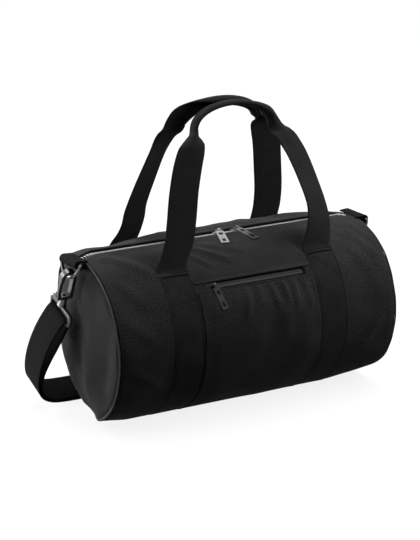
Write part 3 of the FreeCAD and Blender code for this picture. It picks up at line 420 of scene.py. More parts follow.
def webbing_rings(line, across, thick=1.7, curl=None, fat=0.4):
    """Rings of a webbing along a line. curl runs from 0, flat, to 1, its edges rolled together behind it;
    fat is how round the roll is."""
    ahead, way = unit(np.gradient(line, axis=0)), way_along(line)
    if curl is None:
        across = across - (across * ahead).sum(1, keepdims=True) * ahead
        curl = np.zeros(len(line))
    across = unit(across)
    out = unit(np.cross(across, ahead))
    u, up = web_section(thick)
    curl = np.clip(curl, 0, 1)[:, None]
    turn = 2 * math.pi * ROLLED * u / WEBBING
    radius = WEBBING / (2 * math.pi * ROLLED)
    face = np.stack([np.sin(turn), fat * np.cos(turn)]) / np.hypot(np.sin(turn), fat * np.cos(turn))
    sideways = u + (fat * radius * np.sin(turn) + up * face[0] - u) * curl
    inward = -up + (radius * (1 - np.cos(turn)) - up * face[1] + up) * curl
    rings = line[:, None, :] + sideways[..., None] * across[:, None, :] - inward[..., None] * out[:, None, :]
    lay = np.stack(np.broadcast_arrays(u[None, :], way[:, None]), -1)
    return rings, lay


# Along one stitch: its share of the length from the middle, its thread's height above the cloth and
# its share of the full thickness.
STITCH_ROWS = (
    (-0.5, -0.32, 0.5), (-0.34, 0.04, 0.95), (0.0, 0.14, 1.0), (0.34, 0.04, 0.95), (0.5, -0.32, 0.5),
)


class Stitching:
    """Sewn lines gathered into one piece, each of short threads that dip into the cloth at their ends."""

    def __init__(self):
        self.points, self.faces, self.lay = [], [], []

    def add(self, line, out, pitch=3.3, length=2.3, radius=0.27):
        """Stitches along a line; out has the directions away from the cloth."""
        angles = np.radians(np.arange(0, 360, 60))
        one = capped_faces(len(STITCH_ROWS), len(angles))
        way = way_along(line)
        count = max(int(way[-1] / pitch), 1)
        for number in range(count):
            self.faces += shifted(one, len(self.points))
            middle = (number + 0.5) * way[-1] / count
            places = middle + np.array([row[0] for row in STITCH_ROWS]) * length
            spine = read_off(places, way, line)
            normal = read_off(middle, way, out)
            normal = normal / np.linalg.norm(normal)
            ahead = spine[-1] - spine[0]
            aside = np.cross(normal, ahead / np.linalg.norm(ahead))
            for (_, sink, thin), spot, place in zip(STITCH_ROWS, spine, places):
                for angle in angles:
                    up, wide = sink + radius * thin * math.sin(angle), radius * thin * math.cos(angle)
                    self.points.append(spot + normal * up + aside * wide)
                    self.lay.append((radius * angle, place))

    def make(self, name):
        return piece(name, self.points, self.faces, THREAD, self.lay)


# The barrel's soft form


def arc_of(turn):
    """The length of a turn along the cloth."""
    return np.radians(turn) * BARREL


def round_barrel(x, turn, off):
    """Places on the barrel: turn in degrees from the top towards the front, off above the cloth."""
    x, turn, off = np.broadcast_arrays(*(np.asarray(v, float) for v in (x, turn, off)))
    angle = np.radians(turn)
    z = AXIS + (BARREL + off) * np.cos(angle)
    rise = z - (FLOOR - off)
    z = FLOOR - off + (rise + np.sqrt(rise * rise + 4 * FLOOR_EDGE**2)) / 2
    return np.stack([x, -(BARREL + off) * np.sin(angle), z], -1)


def outward(turn):
    """The direction away from the barrel; the flat underside faces down."""
    angle = np.radians(turn)
    down = smooth((np.abs(turn) - 140) / 25)
    level = 1 - down
    return unit(np.stack([np.zeros_like(angle), -np.sin(angle) * level, np.cos(angle) * level - down], -1))


# How far the left end's rim is pushed in along the barrel, by degrees round it from the top
# through the front: the rear and the underside are pushed in, the top and the front stand.
LEFT_PUSH = (
    (-180, 19), (-165, 21), (-150, 22), (-135, 25), (-120, 27), (-105, 28), (-90, 26), (-75, 23),
    (-60, 19), (-45, 15), (-30, 9), (-15, 4), (0, 1), (15, -1), (50, -3), (110, -3), (138, -3),
    (152, -1), (165, 6), (180, 19),
)
FULL_TURN = np.arange(-180.0, 181.0, 1.0)
EASE = 18


def eased_push():
    """The push in every degree round the rim, evened out over EASE degrees each way."""
    push = np.interp(FULL_TURN, *zip(*LEFT_PUSH))
    weights = np.exp(-0.5 * (np.arange(-EASE, EASE + 1) / 7.0) ** 2)
    round_again = np.concatenate([push[-EASE - 1 : -1], push, push[1 : EASE + 1]])
    return np.convolve(round_again, weights / weights.sum(), "valid")


left_push = eased_push()

# Creases in the cloth: from (x, arc) to (x, arc), half width and height; arc runs from the top
# to the front along the cloth.
CREASES = (
    ((18, 96), (23, 132), 5.0, 1.7), ((35, 95), (38, 126), 4.5, 1.9),
    ((51, 95), (48, 134), 5.0, 1.6), ((-15, 97), (-22, 140), 6.5, 1.7),
    ((64, 96), (69, 136), 5.5, 1.3), ((2, 96), (-1, 124), 5.5, 1.2),
    ((28, 116), (33, 176), 11.0, 0.9), ((-2, 130), (-10, 190), 13.0, 0.8),
    ((-62, 26), (-18, 62), 6.0, 2.0), ((-46, 22), (6, 50), 7.0, 1.6),
    ((-72, 40), (-44, 68), 5.0, 1.6), ((150, 40), (176, 92), 8.0, 0.9),
    ((163, 28), (184, 66), 7.0, 0.7), ((140, 62), (172, 130), 10.0, 0.8),
    ((-176, 60), (-146, 104), 9.0, 1.0), ((-182, 110), (-140, 150), 10.0, 1.1),
    ((-172, 14), (-124, 66), 9.0, 1.7), ((-178, 170), (-132, 205), 9.0, 1.2),
    ((176, 150), (140, 200), 9.0, 1.1), ((130, 28), (150, 60), 7.0, 0.8),
    ((40, -30), (80, -64), 8.0, 1.2), ((-64, -40), (-20, -72), 8.0, 1.2),
    ((-40, -100), (-52, -180), 10.0, 1.3), ((30, -96), (22, -190), 11.0, 1.3),
    ((64, -110), (72, -200), 8.0, 1.1), ((-150, -60), (-138, -170), 8.0, 2.0),
    ((-166, -80), (-158, -190), 7.0, 2.3), ((-178, -100), (-174, -210), 6.0, 2.0),
    ((150, -40), (172, -110), 8.0, 1.5), ((140, -120), (168, -200), 9.0, 1.4),
    ((168, -60), (184, -140), 7.0, 1.3),
)
# Long soft waves in the cloth: radians per millimetre along x and round the barrel, start and height.
SWELLS = (
    (0.055, 0.021, 0.4, 0.5), (-0.031, 0.047, 1.9, 0.45), (0.082, -0.036, 2.7, 0.3),
    (0.013, 0.075, 5.1, 0.35), (0.147, 0.058, 0.9, 0.14), (-0.121, 0.139, 3.3, 0.12),
    (0.043, -0.171, 4.4, 0.12),
)


def rumple(x, turn):
    """How far the cloth stands off its round form; none along the two zips."""
    arc = arc_of(turn)
    lift = np.zeros_like(arc)
    for start, end, width, height in CREASES:
        run, rise = end[0] - start[0], end[1] - start[1]
        past, above = x - start[0], arc - start[1]
        share = np.clip((past * run + above * rise) / (run * run + rise * rise), 0, 1)
        away = np.hypot(past - share * run, above - share * rise) / width
        fades = np.sqrt(np.clip(4 * share * (1 - share), 0, 1))
        lift += height * fades * (1 - 0.9 * away**2) * np.exp(-(away**2))
    for along, around, begins, height in SWELLS:
        lift += height * np.sin(along * x + around * arc + begins)
    rear_lip = hump(turn + 24, 13) * smooth((170 - x) / 60) * smooth((x + 145) / 105)
    lift += 5.5 * rear_lip
    along_zip = 1 - smooth((np.abs(x - 4) - 74) / 12)
    pocket_zip = (1 - smooth((np.abs(turn - POCKET_ZIP) - 3.8) / 3)) * along_zip
    main_zip = 1 - smooth((np.abs(turn) - 6) / 8)
    main_pullers = np.exp(-(((x - 14) / 42) ** 4) - (((turn - 10) / 15) ** 4))
    pocket_puller = np.exp(-(((x + 50) / 16) ** 4) - (((turn - 61) / 13) ** 4))
    under_pullers = np.maximum(main_pullers, pocket_puller)
    seams = smooth((HALF - np.abs(x)) / 10)
    base = 1 - smooth((np.abs(turn) - 145) / 14)
    lift = lift * (1 - under_pullers)
    return lift * (1 - pocket_zip) * (1 - main_zip) * (0.25 + 0.75 * seams) * base


def settle(places, wrinkled=True):
    """Cloth as it rests: the left end slumps, the top sinks towards both ends, wrinkles stand out."""
    places = np.array(places, float)
    x, y, z = places[..., 0].copy(), places[..., 1], places[..., 2]
    turn = np.degrees(np.arctan2(-y, z - AXIS))
    reach = np.clip(np.hypot(y, z - AXIS) / BARREL, 0, 1.05)
    if wrinkled:
        places += outward(turn) * rumple(x, turn)[..., None]
    near_left = smooth((-x - 96) / 92)
    places[..., 0] += np.interp(turn, FULL_TURN, left_push) * near_left * reach**1.3
    low = smooth((np.abs(turn) - 118) / 40) * reach**2
    places[..., 2] += low * (4.0 * smooth((-x - 150) / 38) + 6.0 * smooth((x - 120) / 68))
    top = hump(turn, 30) * reach**4
    places[..., 2] -= top * (4.0 * smooth((-x - 168) / 20) + 4.5 * smooth((x - 162) / 26))
    return places


def laid(name, xs, turns, off, finish, depth, wrinkled=True):
    """A cloth laid on the barrel over a grid of x and turn; off is how far it stands above the barrel."""
    at_x, at_turn = np.meshgrid(xs, turns)
    places = settle(round_barrel(at_x, at_turn, off), wrinkled)
    lay = np.stack([at_x, arc_of(at_turn)], -1)
    return thicken(piece(name, places, grid_faces(len(turns), len(xs)), finish, lay), depth)


bag_stitches = Stitching()


def sewn_on(xs, turns, off, **sizes):
    """A sewn line over the barrel's cloth; its x or its turn may be one number."""
    xs, turns = np.broadcast_arrays(np.asarray(xs, float), np.asarray(turns, float))
    bag_stitches.add(settle(round_barrel(xs, turns, off)), outward(turns), **sizes)


# Shell


def hem(distance, width, height):
    """A turned hem: thick at the edge, with a dip where it is sewn down."""
    distance = np.abs(distance)
    sewn_down = hump(distance - width + 1.6, 0.7)
    return height * (1 - smooth((distance - width) / 1.6)) - 0.35 * sewn_down


def main_shell():
    """The barrel's cloth from one side of the main zip round to the other, with the pocket's slot."""
    slit = math.degrees(math.asin(7.4 / BARREL))
    turns = spans(
        (slit, 12, SLOT_TOP - 2, SLOT_TOP, SLOT_FOOT, SLOT_FOOT + 2, 348, 360 - slit),
        (14, 26, 4, 6, 4, 210, 14),
    )
    xs = spans((-HALF, SLOT_LEFT, SLOT_RIGHT, HALF), (60, 62, 56))
    at_x, at_turn = np.meshgrid(xs, turns)
    edge = arc_of(np.minimum(at_turn - slit, 360 - slit - at_turn))
    off = 0.1 + hem(edge, 8.0, 0.35) - 0.9 * hump(edge, 0.9)
    inside_x = (xs[:-1] > SLOT_LEFT - 0.5) & (xs[1:] < SLOT_RIGHT + 0.5)
    inside_turn = (turns[:-1] > SLOT_TOP - 0.1) & (turns[1:] < SLOT_FOOT + 0.1)
    at_turn = np.where(at_turn > 180, at_turn - 360, at_turn)
    off = off - 0.9 * hump(HALF - np.abs(at_x) - 2.0, 1.6)
    places = settle(round_barrel(at_x, at_turn, off))
    lay = np.stack([at_x, arc_of(np.where(at_turn < 0, at_turn + 360, at_turn))], -1)
    faces = grid_faces(len(turns), len(xs), left_out=lambda i, j: inside_x[j] and inside_turn[i])
    shell = thicken(piece("main_shell", places, faces, CLOTH, lay), 1.3)
    on_bag(shell, "main_panel")
    for side in (1, -1):
        sewn_on(np.linspace(-184, 184, 200), side * (slit + 4.2), 0.85)


# How far each end panel puffs out, and its folds: height, middle in y and z, half width, half height,
# lean in y for each step up, and how squarely the fold ends (2 soft, 4 square).
END_DOME = {"left": 5.0, "right": 7.0}
END_FOLDS = {
    "left": (
        (6.5, 56, 74, 30, 50, 0, 2), (-4.4, -1.8, 112, 16, 52, 0.1, 4), (2.2, -34, 112, 17, 50, 0, 2),
        (-2.2, -68, 70, 11, 44, -0.2, 2), (1.6, -18, 40, 12, 26, -0.5, 2),
    ),
    "right": (
        (2.6, -20, 70, 22, 40, 0, 2), (-3.6, 7.8, 112, 8, 40, -0.1, 4), (-2.4, -49.4, 92, 9, 34, 0.3, 2),
        (1.6, 46, 96, 16, 40, 0, 2), (-5.2, 8, 154, 26, 32, 0, 2),
    ),
}


def end_cloth(side):
    """A round end panel, puffed out a little, with its folds; both are dented behind the hooks."""
    reach = spans((0.02, 0.8, 0.998), (34, 16))
    turns = np.linspace(-180, 180, 181)[:-1]
    at_turn, at_reach = np.meshgrid(turns, reach)
    rim = round_barrel(0.0, at_turn, -0.8)
    y, z = rim[..., 1] * at_reach, AXIS + (rim[..., 2] - AXIS) * at_reach
    dome = 1 - at_reach**2
    seam = smooth((1 - at_reach) / 0.09)
    name = SIDES[side]
    puff = END_DOME[name] * dome
    for height, middle_y, middle_z, wide, tall, lean, ends in END_FOLDS[name]:
        aside = (y - middle_y - lean * (z - middle_z)) / wide
        puff += height * np.exp(-(aside**2) - np.abs((z - middle_z) / tall) ** ends)
    puff += 0.5 * np.sin(0.11 * y + 0.06 * z) + 0.35 * np.sin(0.05 * y - 0.13 * z + 1.2)
    puff = puff * seam - 1.3 * hump((1 - at_reach) * BARREL - 2.6, 1.5)
    puff *= 1 - 0.75 * np.exp(-((y / 24) ** 2) - ((z - 190) / 16) ** 2)
    places = np.stack([np.full_like(y, side * 189.6), y, z], -1)
    places = settle(places, wrinkled=False)
    places[..., 0] += side * puff
    points = np.vstack([places.reshape(-1, 3), places[0].mean(0)[None]])
    lay = np.vstack([np.stack([y, z], -1).reshape(-1, 2), [[y[0].mean(), z[0].mean()]]])
    count = len(turns)
    faces = grid_faces(len(reach), count, ring=True)
    faces += [(len(points) - 1, (j + 1) % count, j) for j in range(count)]
    if side > 0:
        faces = flipped(faces)
    cloth = thicken(piece(f"{name}_end_cloth", points, faces, CLOTH, lay), 1.4)
    on_bag(cloth, f"{name}_end_panel")


def rim_piping(side):
    """The covered cord sewn into the end seam."""
    turns = np.linspace(-180, 180, 241)[:-1]
    spine = round_barrel(side * 189.7, turns, 0.0)
    wander = 0.25 * np.sin(np.radians(turns) * 9) + 0.15 * np.sin(np.radians(turns) * 23 + 1)
    around = np.radians(np.arange(0, 360, 30))
    out = outward(turns)
    sideways = np.array([1.0, 0, 0])
    size = 1.0
    rings = (
        spine[:, None, :]
        + out[:, None, :] * (size * np.sin(around)[None, :, None])
        + sideways * ((size * np.cos(around))[None, :, None] + wander[:, None, None])
    )
    rings = settle(rings, wrinkled=False)
    lay = np.stack(np.broadcast_arrays(size * around[None, :], arc_of(turns)[:, None]), -1)
    name = SIDES[side]
    faces = [(a, d, c, b) for a, b, c, d in grid_faces(*rings.shape[:2], ring=True, closed=True)]
    cord = piece(f"{name}_rim_piping", rings, faces, PIPING, lay)
    on_bag(cord, f"{name}_end_piping")


def seam_binding(side):
    """The tape folded over the seam allowance inside, open at the zip."""
    turns = np.linspace(9, 351, 150)
    turns = np.where(turns > 180, turns - 360, turns)
    deep = np.array([-2.4, -6.0, -9.4, -10.0, -9.4, -6.0, -2.4])
    wide = np.array([2.9, 2.9, 2.6, 1.5, 0.5, 0.2, 0.2])
    at_turn, fold = np.meshgrid(turns, np.arange(len(deep)), indexing="ij")
    ruffle = 0.25 * np.sin(np.radians(at_turn) * 31)
    places = settle(round_barrel(side * (HALF - wide[fold] + ruffle), at_turn, deep[fold]), wrinkled=False)
    lay = np.stack([deep[fold], arc_of(at_turn)], -1)
    name = SIDES[side]
    tape = thicken(
        piece(f"{name}_seam_tape", places, grid_faces(len(turns), len(deep)), LINING, lay), 0.4, 0.0
    )
    on_bag(tape, f"{name}_seam_binding")


def sewn_webbing(side):
    """Webbing sewn round the barrel under each handle leg, with the box and cross at its ends."""
    half_way = spans((38.2, 62, 150, 180), (44, 62, 20))
    turns = np.concatenate([half_way, 360 - half_way[-2::-1]])
    turns = np.where(turns > 180, turns - 360, turns)
    u, up = web_section(1.5, 45)
    at_turn, at_u = np.meshgrid(turns, u, indexing="ij")
    arc = arc_of(np.abs(at_turn) - BOX_TOP)
    box = arc_of(BOX_FOOT - BOX_TOP)
    sewn = np.abs(np.abs(at_u) - EDGE_SEAM)
    beyond_box = np.where((arc < box + 1) & (np.abs(at_u) < EDGE_SEAM), 0, 9)
    cross = 2 * BOX_HALF * (arc / box - 0.5)
    for line in (np.abs(arc), np.abs(arc - box), np.abs(at_u - cross) * 0.75, np.abs(at_u + cross) * 0.75):
        sewn = np.minimum(sewn, line + beyond_box)
    dent = np.where(up > 0, 0.42, 0)[None, :] * hump(sewn, 0.85)
    rings = settle(round_barrel(side * STRIP + at_u, at_turn, up[None, :] + 0.95 - dent))
    lay = np.stack([at_u, arc_of(np.where(at_turn < 0, at_turn + 360, at_turn))], -1)
    name = SIDES[side]
    web = tube(f"{name}_sewn_webbing", rings, WEB_PAINTED_LIGHTER, lay)
    on_bag(web, f"body_webbing_{name}")
    middle = side * STRIP
    for front in (1, -1):
        for edge in (-EDGE_SEAM, EDGE_SEAM):
            sewn_on(middle + edge, np.linspace(40, 176, 170) * front, 1.5)
        low, high = BOX_TOP * front, BOX_FOOT * front
        for end in (low, high):
            sewn_on(np.linspace(-BOX_HALF, BOX_HALF, 20) + middle, end, 1.5, radius=0.36)
        for lean in (1, -1):
            run = np.linspace(-BOX_HALF, BOX_HALF, 30) * lean + middle
            sewn_on(run, np.linspace(low, high, 30), 1.5, radius=0.36)
        for across in np.arange(-17.5, 18, 2.5):
            sewn_on(middle + across, np.linspace(38.6, 41.2, 4) * front, 1.9, length=3.8, radius=0.5)


main_shell()
for end_side in (-1, 1):
    end_cloth(end_side)
    rim_piping(end_side)
    seam_binding(end_side)
    sewn_webbing(end_side)


# Zips

# The main zip's height above the floor, and the pitch of its teeth and of the pocket's coil.
TAPE_LEVEL = 197.2
TOOTH_PITCH = 3.4
COIL_PITCH = 2.4


def zip_dip(x):
    """The zip turns down under the strap tab at each end."""
    past = np.clip(np.abs(x) - 170, 0, None)
    return -0.016 * past**2


def main_zip():
    """The two tapes of the main zip, thicker along their inner edges."""
    xs = np.linspace(-187.5, 187.5, 180)
    for name, side in (("front", -1), ("rear", 1)):
        across = np.array([1.9, 2.6, 5.4, 9.0, 12.0, 16.2])
        level = np.array([0.9, 0.7, 0.2, -0.1, -0.5, -1.1])
        at_x, at_side = np.meshgrid(xs, across, indexing="ij")
        at_z = TAPE_LEVEL + level[None, :] + zip_dip(at_x)
        places = np.stack([at_x, side * at_side, at_z], -1)
        faces = grid_faces(len(xs), len(across))
        if side < 0:
            faces = flipped(faces)
        tape = thicken(
            piece(f"main_tape_{name}", places, faces, TAPE, np.stack([at_side, at_x], -1)), 0.7, 0.0
        )
        on_bag(tape, f"main_zip_tape_{name}")


def bead(size, power, rings=6, around=10):
    """A rounded cast tooth: half sizes along x, y and z; a lower power is squarer."""
    points = []
    for i in range(1, rings):
        up = -math.pi / 2 + math.pi * i / rings
        for j in range(around):
            turn = 2 * math.pi * j / around
            c, s = math.cos(up), math.sin(up)
            x, y = math.cos(turn), math.sin(turn)
            points.append((
                size[0] * abs(c) ** power * math.copysign(abs(x) ** power, x),
                size[1] * abs(c) ** power * math.copysign(abs(y) ** power, y),
                size[2] * math.copysign(abs(s) ** power, s),
            ))
    return np.array(points), capped_faces(rings - 1, around)


def tooth_row(name, body_points, faces, centres, finish, tilt=None):
    """Copies of one tooth at the centres, each turned by its tilt."""
    points, all_faces = [], []
    for k, centre in enumerate(centres):
        here = body_points if tilt is None else body_points @ tilt(k).T
        all_faces += shifted(faces, k * len(body_points))
        points.append(here + centre)
    points = np.vstack(points)
    return piece(name, points, all_faces, finish, points[:, :2])


def main_teeth():
    """Cast nickel teeth on the two tapes, each with a neck that grips the tape."""
    tooth, faces = bead((0.66, 0.95, 0.85), 0.75)
    neck, neck_faces = bead((0.5, 0.8, 0.45), 0.5, 5, 8)
    both = np.vstack([tooth, neck + np.array([0, 0.95, -0.3])])
    both_faces = faces + shifted(neck_faces, len(tooth))
    for name, side in (("front", -1), ("rear", 1)):
        xs = np.arange(-184.5, 185.5, TOOTH_PITCH)
        centres = np.stack([xs, np.full_like(xs, side * 1.3), TAPE_LEVEL + 1.6 + zip_dip(xs)], 1)
        slope = np.arctan(np.gradient(zip_dip(xs), xs))

        def tilt(k, slope=slope, side=side):
            c, s = math.cos(slope[k]), math.sin(slope[k])
            return np.array([[c, 0, -s], [0, side, 0], [s, 0, c]])

        row_faces = both_faces if side > 0 else flipped(both_faces)
        row = tooth_row(f"main_teeth_{name}", both, row_faces, centres, NICKEL, tilt)
        on_bag(row, f"main_zip_teeth_{name}")


def pocket_zip():
    """Narrow tapes and a black coil set in the pocket's slot."""
    xs = np.linspace(-70, 78, 90)
    for name, side in (("upper", -1), ("lower", 1)):
        across = np.array([2.6, 3.0, 4.2, 7.0, 11.6])
        off = np.array([-1.9, -2.0, -2.2, -2.6, -2.6])[:, None]
        turns = POCKET_ZIP + side * np.degrees(across / TAPE_RADIUS)
        tape = laid(f"pocket_tape_{name}", xs, turns, off, TAPE, 0.6, wrinkled=False)
        on_bag(tape, f"pocket_zip_tape_{name}")
        loop, faces = bead((0.8, 1.8, 0.9), 0.8)
        loop[:, 0] += 0.35 * side * loop[:, 1]
        c, s = math.cos(math.radians(POCKET_ZIP)), math.sin(math.radians(POCKET_ZIP))
        turn_down = np.array([[1, 0, 0], [0, c, -s], [0, s, c]])
        places = np.arange(-60.0 + (COIL_PITCH / 2 if side > 0 else 0), 69.0, COIL_PITCH)
        centres = round_barrel(places, POCKET_ZIP + side * math.degrees(1.55 / TAPE_RADIUS), -1.35)
        row = tooth_row(f"pocket_coil_{name}", loop @ turn_down.T, faces, centres, COIL)
        on_bag(row, f"pocket_zip_teeth_{name}")


main_zip()
main_teeth()
pocket_zip()


# Front pocket


def pocket_front():
    """The pocket's outer cloth, slack between its side seams."""
    top_edge = 53.9
    xs = np.linspace(-POCKET_HALF, POCKET_HALF, 84)
    turns = spans((top_edge, 57, 177), (6, 100))
    at_x, at_turn = np.meshgrid(xs, turns)
    from_side = POCKET_HALF - np.abs(at_x)
    slack = smooth(from_side / 26) * smooth((at_turn - 56) / 14) * (1 - smooth((at_turn - 128) / 22))
    edge = arc_of(at_turn - top_edge)
    turned_edge = 0.5 * hump(edge, 1.3) - 0.3 * hump(edge - 2.7, 0.8)
    off = 1.1 + 1.6 * slack + turned_edge + 0.35 * hump(from_side, 1.4)
    cloth = laid("pocket_front", xs, turns, off, CLOTH, 0.8)
    on_bag(cloth, "pocket_panel")
    sewn_on(np.linspace(-70, 77, 120), 55.4, 1.15)


# Down the lip and back under its fold: degrees from the top, and height above the shell.
LIP_ROWS = (
    (38.5, 0.5), (39.0, 0.9), (40.2, 0.75), (41.6, 0.9), (43.2, 0.95), (44.8, 0.8), (46.2, 0.65),
    (47.2, 1.35), (47.8, 1.9), (48.15, 1.85), (48.3, 1.4), (48.1, 0.95), (47.6, 0.9), (46.8, 0.9),
)


def pocket_lip():
    """The folded strip over the zip: its lower edge stands off and shades the teeth."""
    xs = np.linspace(-POCKET_HALF, POCKET_HALF, 100)
    turns, lift = np.array(LIP_ROWS).T
    wave = 0.12 * np.sin(xs * 0.11) + 0.1 * np.sin(xs * 0.27 + 1)
    off = lift[:, None] + 0.5 * wave[None, :] * smooth((turns - 41) / 4)[:, None]
    strip = laid("pocket_lip", xs, turns, off, CLOTH, 0.5)
    on_bag(strip, "pocket_hood")
    for turn in (40.1, 45.8):
        sewn_on(np.linspace(-77, 77, 120), turn, 0.85)


def zip_end_cover(name, low, high):
    """A patch sewn over each end of the pocket's zip."""
    top, foot = SLOT_TOP + 0.2, SLOT_FOOT - 0.2
    xs = np.linspace(low, high, 12)
    turns = np.linspace(top, foot, 12)
    at_x, at_turn = np.meshgrid(xs, turns)
    rim = np.minimum(np.minimum(at_x - low, high - at_x), np.minimum(at_turn - top, foot - at_turn) * 1.78)
    off = 0.25 + 0.85 * smooth(rim / 1.2) - 0.25 * hump(rim - 1.9, 0.6)
    patch = laid(f"pocket_end_patch_{name}", xs, turns, off, CLOTH, 0.5)
    on_bag(patch, f"pocket_zip_end_tab_{name}")
    for edge in (low + 2, high - 2):
        sewn_on(edge, np.linspace(48.9, 53.1, 8), 1.0, pitch=2.4, length=1.7)
    run = (low + high) / 2 + np.linspace(-2.4, 2.4, 8)
    sewn_on(run, POCKET_ZIP, 1.1, pitch=2.2, length=1.6)


def pocket_pouch():
    """The flat lining bag that hangs behind the pocket's zip."""
    left, right = -68.6, 76.6
    xs = np.linspace(left, right, 60)
    outer = np.linspace(55.0, 119, 40)
    inner = np.linspace(120, 46.5, 46)
    turns = np.concatenate([outer, [120.2, 120.5, 120.4], inner, [45.8, 45.6, 45.9, 46.6]])
    off = np.concatenate([np.full(40, -3.9), [-4.3, -5.0, -5.8], np.full(46, -6.4), [-6.1, -5.2, -4.3, -3.9]])
    at_x, at_turn = np.meshgrid(xs, turns)
    pinch = hump(np.minimum(xs - left, right - xs), 1.6)
    depth = off[:, None] + (-5.1 - off[:, None]) * pinch[None, :] * 0.85
    slack = 0.5 * (1 + np.sin(0.09 * at_x + 0.03 * at_turn))
    depth = depth - slack * (off < -6)[:, None] * (1 - pinch[None, :])
    bag = laid("pocket_pouch", xs, turns, depth, LINING, 0.35, wrinkled=False)
    on_bag(bag, "pocket_lining")


pocket_front()
pocket_lip()
zip_end_cover("left", -71.4, -62.1)
zip_end_cover("right", 70.1, 79.4)
pocket_pouch()
stitched = bag_stitches.make("bag_stitches")
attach(stitched, "bag_body")


# Handles


# Rows up each leg, as seen from its handle's own side: shares of its height, of the way in to the
# grip, of the sway, of the twist and of the curl.
LEG_ROWS = {
    "front_left": (
        (0.03, 0, 0.1, 0, 0), (0.18, 0.07, 0.75, 0, 0), (0.36, 0.16, 1, 0, 0), (0.6, 0.33, 1, 0, 0),
        (0.8, 0.53, 0.95, 0, 0), (0.925, 0.7, 0.88, 0, 0.03), (1, 0.81, 0.85, 0, 0.13),
    ),
    "front_right": (
        (0.03, 0, 0.1, 0, 0), (0.18, 0.05, 0.75, 0.6, 0), (0.36, 0.13, 1, 1, 0), (0.6, 0.33, 1, 1, 0.01),
        (0.8, 0.53, 0.95, 0.9, 0.02), (0.92, 0.69, 0.9, 0.75, 0.06), (1, 0.8, 0.85, 0.6, 0.14),
    ),
    "rear_left": (
        (0.05, 0, 0.1, 0, 0), (0.18, 0.05, 0.75, 0, 0), (0.36, 0.12, 1, 0, 0), (0.6, 0.25, 1, 0, 0),
        (0.8, 0.36, 0.95, 0, 0), (0.92, 0.45, 0.88, 0, 0), (1, 0.52, 0.85, 0, 0.03),
    ),
    "rear_right": (
        (0.05, 0, 0.42, 0.35, 0), (0.13, 0.01, 0.95, 0.6, 0), (0.22, 0.03, 1.22, 0.75, 0),
        (0.36, 0.11, 1.05, 0.85, 0), (0.6, 0.33, 1, 0.95, 0), (0.8, 0.53, 1.0, 1.05, 0.01),
        (0.92, 0.68, 0.95, 0.9, 0.05), (1, 0.8, 0.85, 0.5, 0.12),
    ),
}
# Rows on from each leg into the grip: shares of the pinch's height and of the way in, and the curl.
PINCH_ROWS = {
    "front_left": ((0.25, 0.87, 0.26), (0.5, 0.94, 0.44), (0.75, 1.0, 0.65), (0.95, 1.05, 0.82)),
    "front_right": ((0.4, 0.9, 0.3), (0.8, 0.97, 0.5)),
    "rear_left": ((0.4, 0.6, 0.14), (0.7, 0.7, 0.36), (0.95, 0.84, 0.7)),
    "rear_right": ((0.45, 0.9, 0.17), (0.9, 0.97, 0.24)),
}
# The front handle's middle line in y and z: centre and radius of the bend at its foot, the leg's foot
# and rise, the pinch's foot and rise, and the grip's place, rise and dip. The rear one is turned half round.
# Then the leg's lean and full twist, how far its top comes in along x, and the bend's ends in degrees.
FOOT_Y, FOOT_Z, FOOT_BEND = -71.05, 188.95, 12
LEG_Y, LEG_Z, LEG_RISE_Y, LEG_RISE_Z = -59.34, 186.31, 29.68, 131.7
PINCH_Y, PINCH_Z, PINCH_RISE_Y, PINCH_RISE_Z = -29.66, 318.0, 8.28, 16
GRIP_Y, GRIP_Z, GRIP_RISE, GRIP_DIP = -14.6, 333.0, 26, 6.78
LEG_LEAN, LEG_TWIST = math.radians(12.7), math.radians(24)
WAY_IN = 44
FOOT_START, FOOT_END = 38.0, 77.3


def handle_knots(leg, sway):
    """One leg from its sewn end to the pinch: ridge, direction across, curl. Drawn as on the front."""
    side = -1 if leg.endswith("left") else 1
    early = LEG_ROWS[leg][0][3]
    rows = []
    for bend in (FOOT_START, 51.0, 64.0, FOOT_END):
        angle = math.radians(bend)
        twist = LEG_TWIST * early * (bend - FOOT_START) / (FOOT_END - FOOT_START)
        rows.append((
            side * STRIP, FOOT_Y + FOOT_BEND * math.sin(angle), FOOT_Z - FOOT_BEND * math.cos(angle),
            math.cos(twist), math.sin(twist) * math.sin(angle), -math.sin(twist) * math.cos(angle), 0,
        ))
    for up, inside, swayed, twisted, curl in LEG_ROWS[leg]:
        twist = LEG_TWIST * twisted
        c, s = math.cos(twist), math.sin(twist)
        rows.append((
            side * (STRIP - WAY_IN * inside) + sway * swayed,
            LEG_Y + LEG_RISE_Y * up, LEG_Z + LEG_RISE_Z * up,
            c, s * math.cos(LEG_LEAN), -s * math.sin(LEG_LEAN), curl,
        ))
    for up, inside, curl in PINCH_ROWS[leg]:
        rows.append((
            side * (STRIP - WAY_IN * inside) + sway * 0.85,
            PINCH_Y + PINCH_RISE_Y * up, PINCH_Z + PINCH_RISE_Z * up, 1, 0, 0, curl,
        ))
    return rows


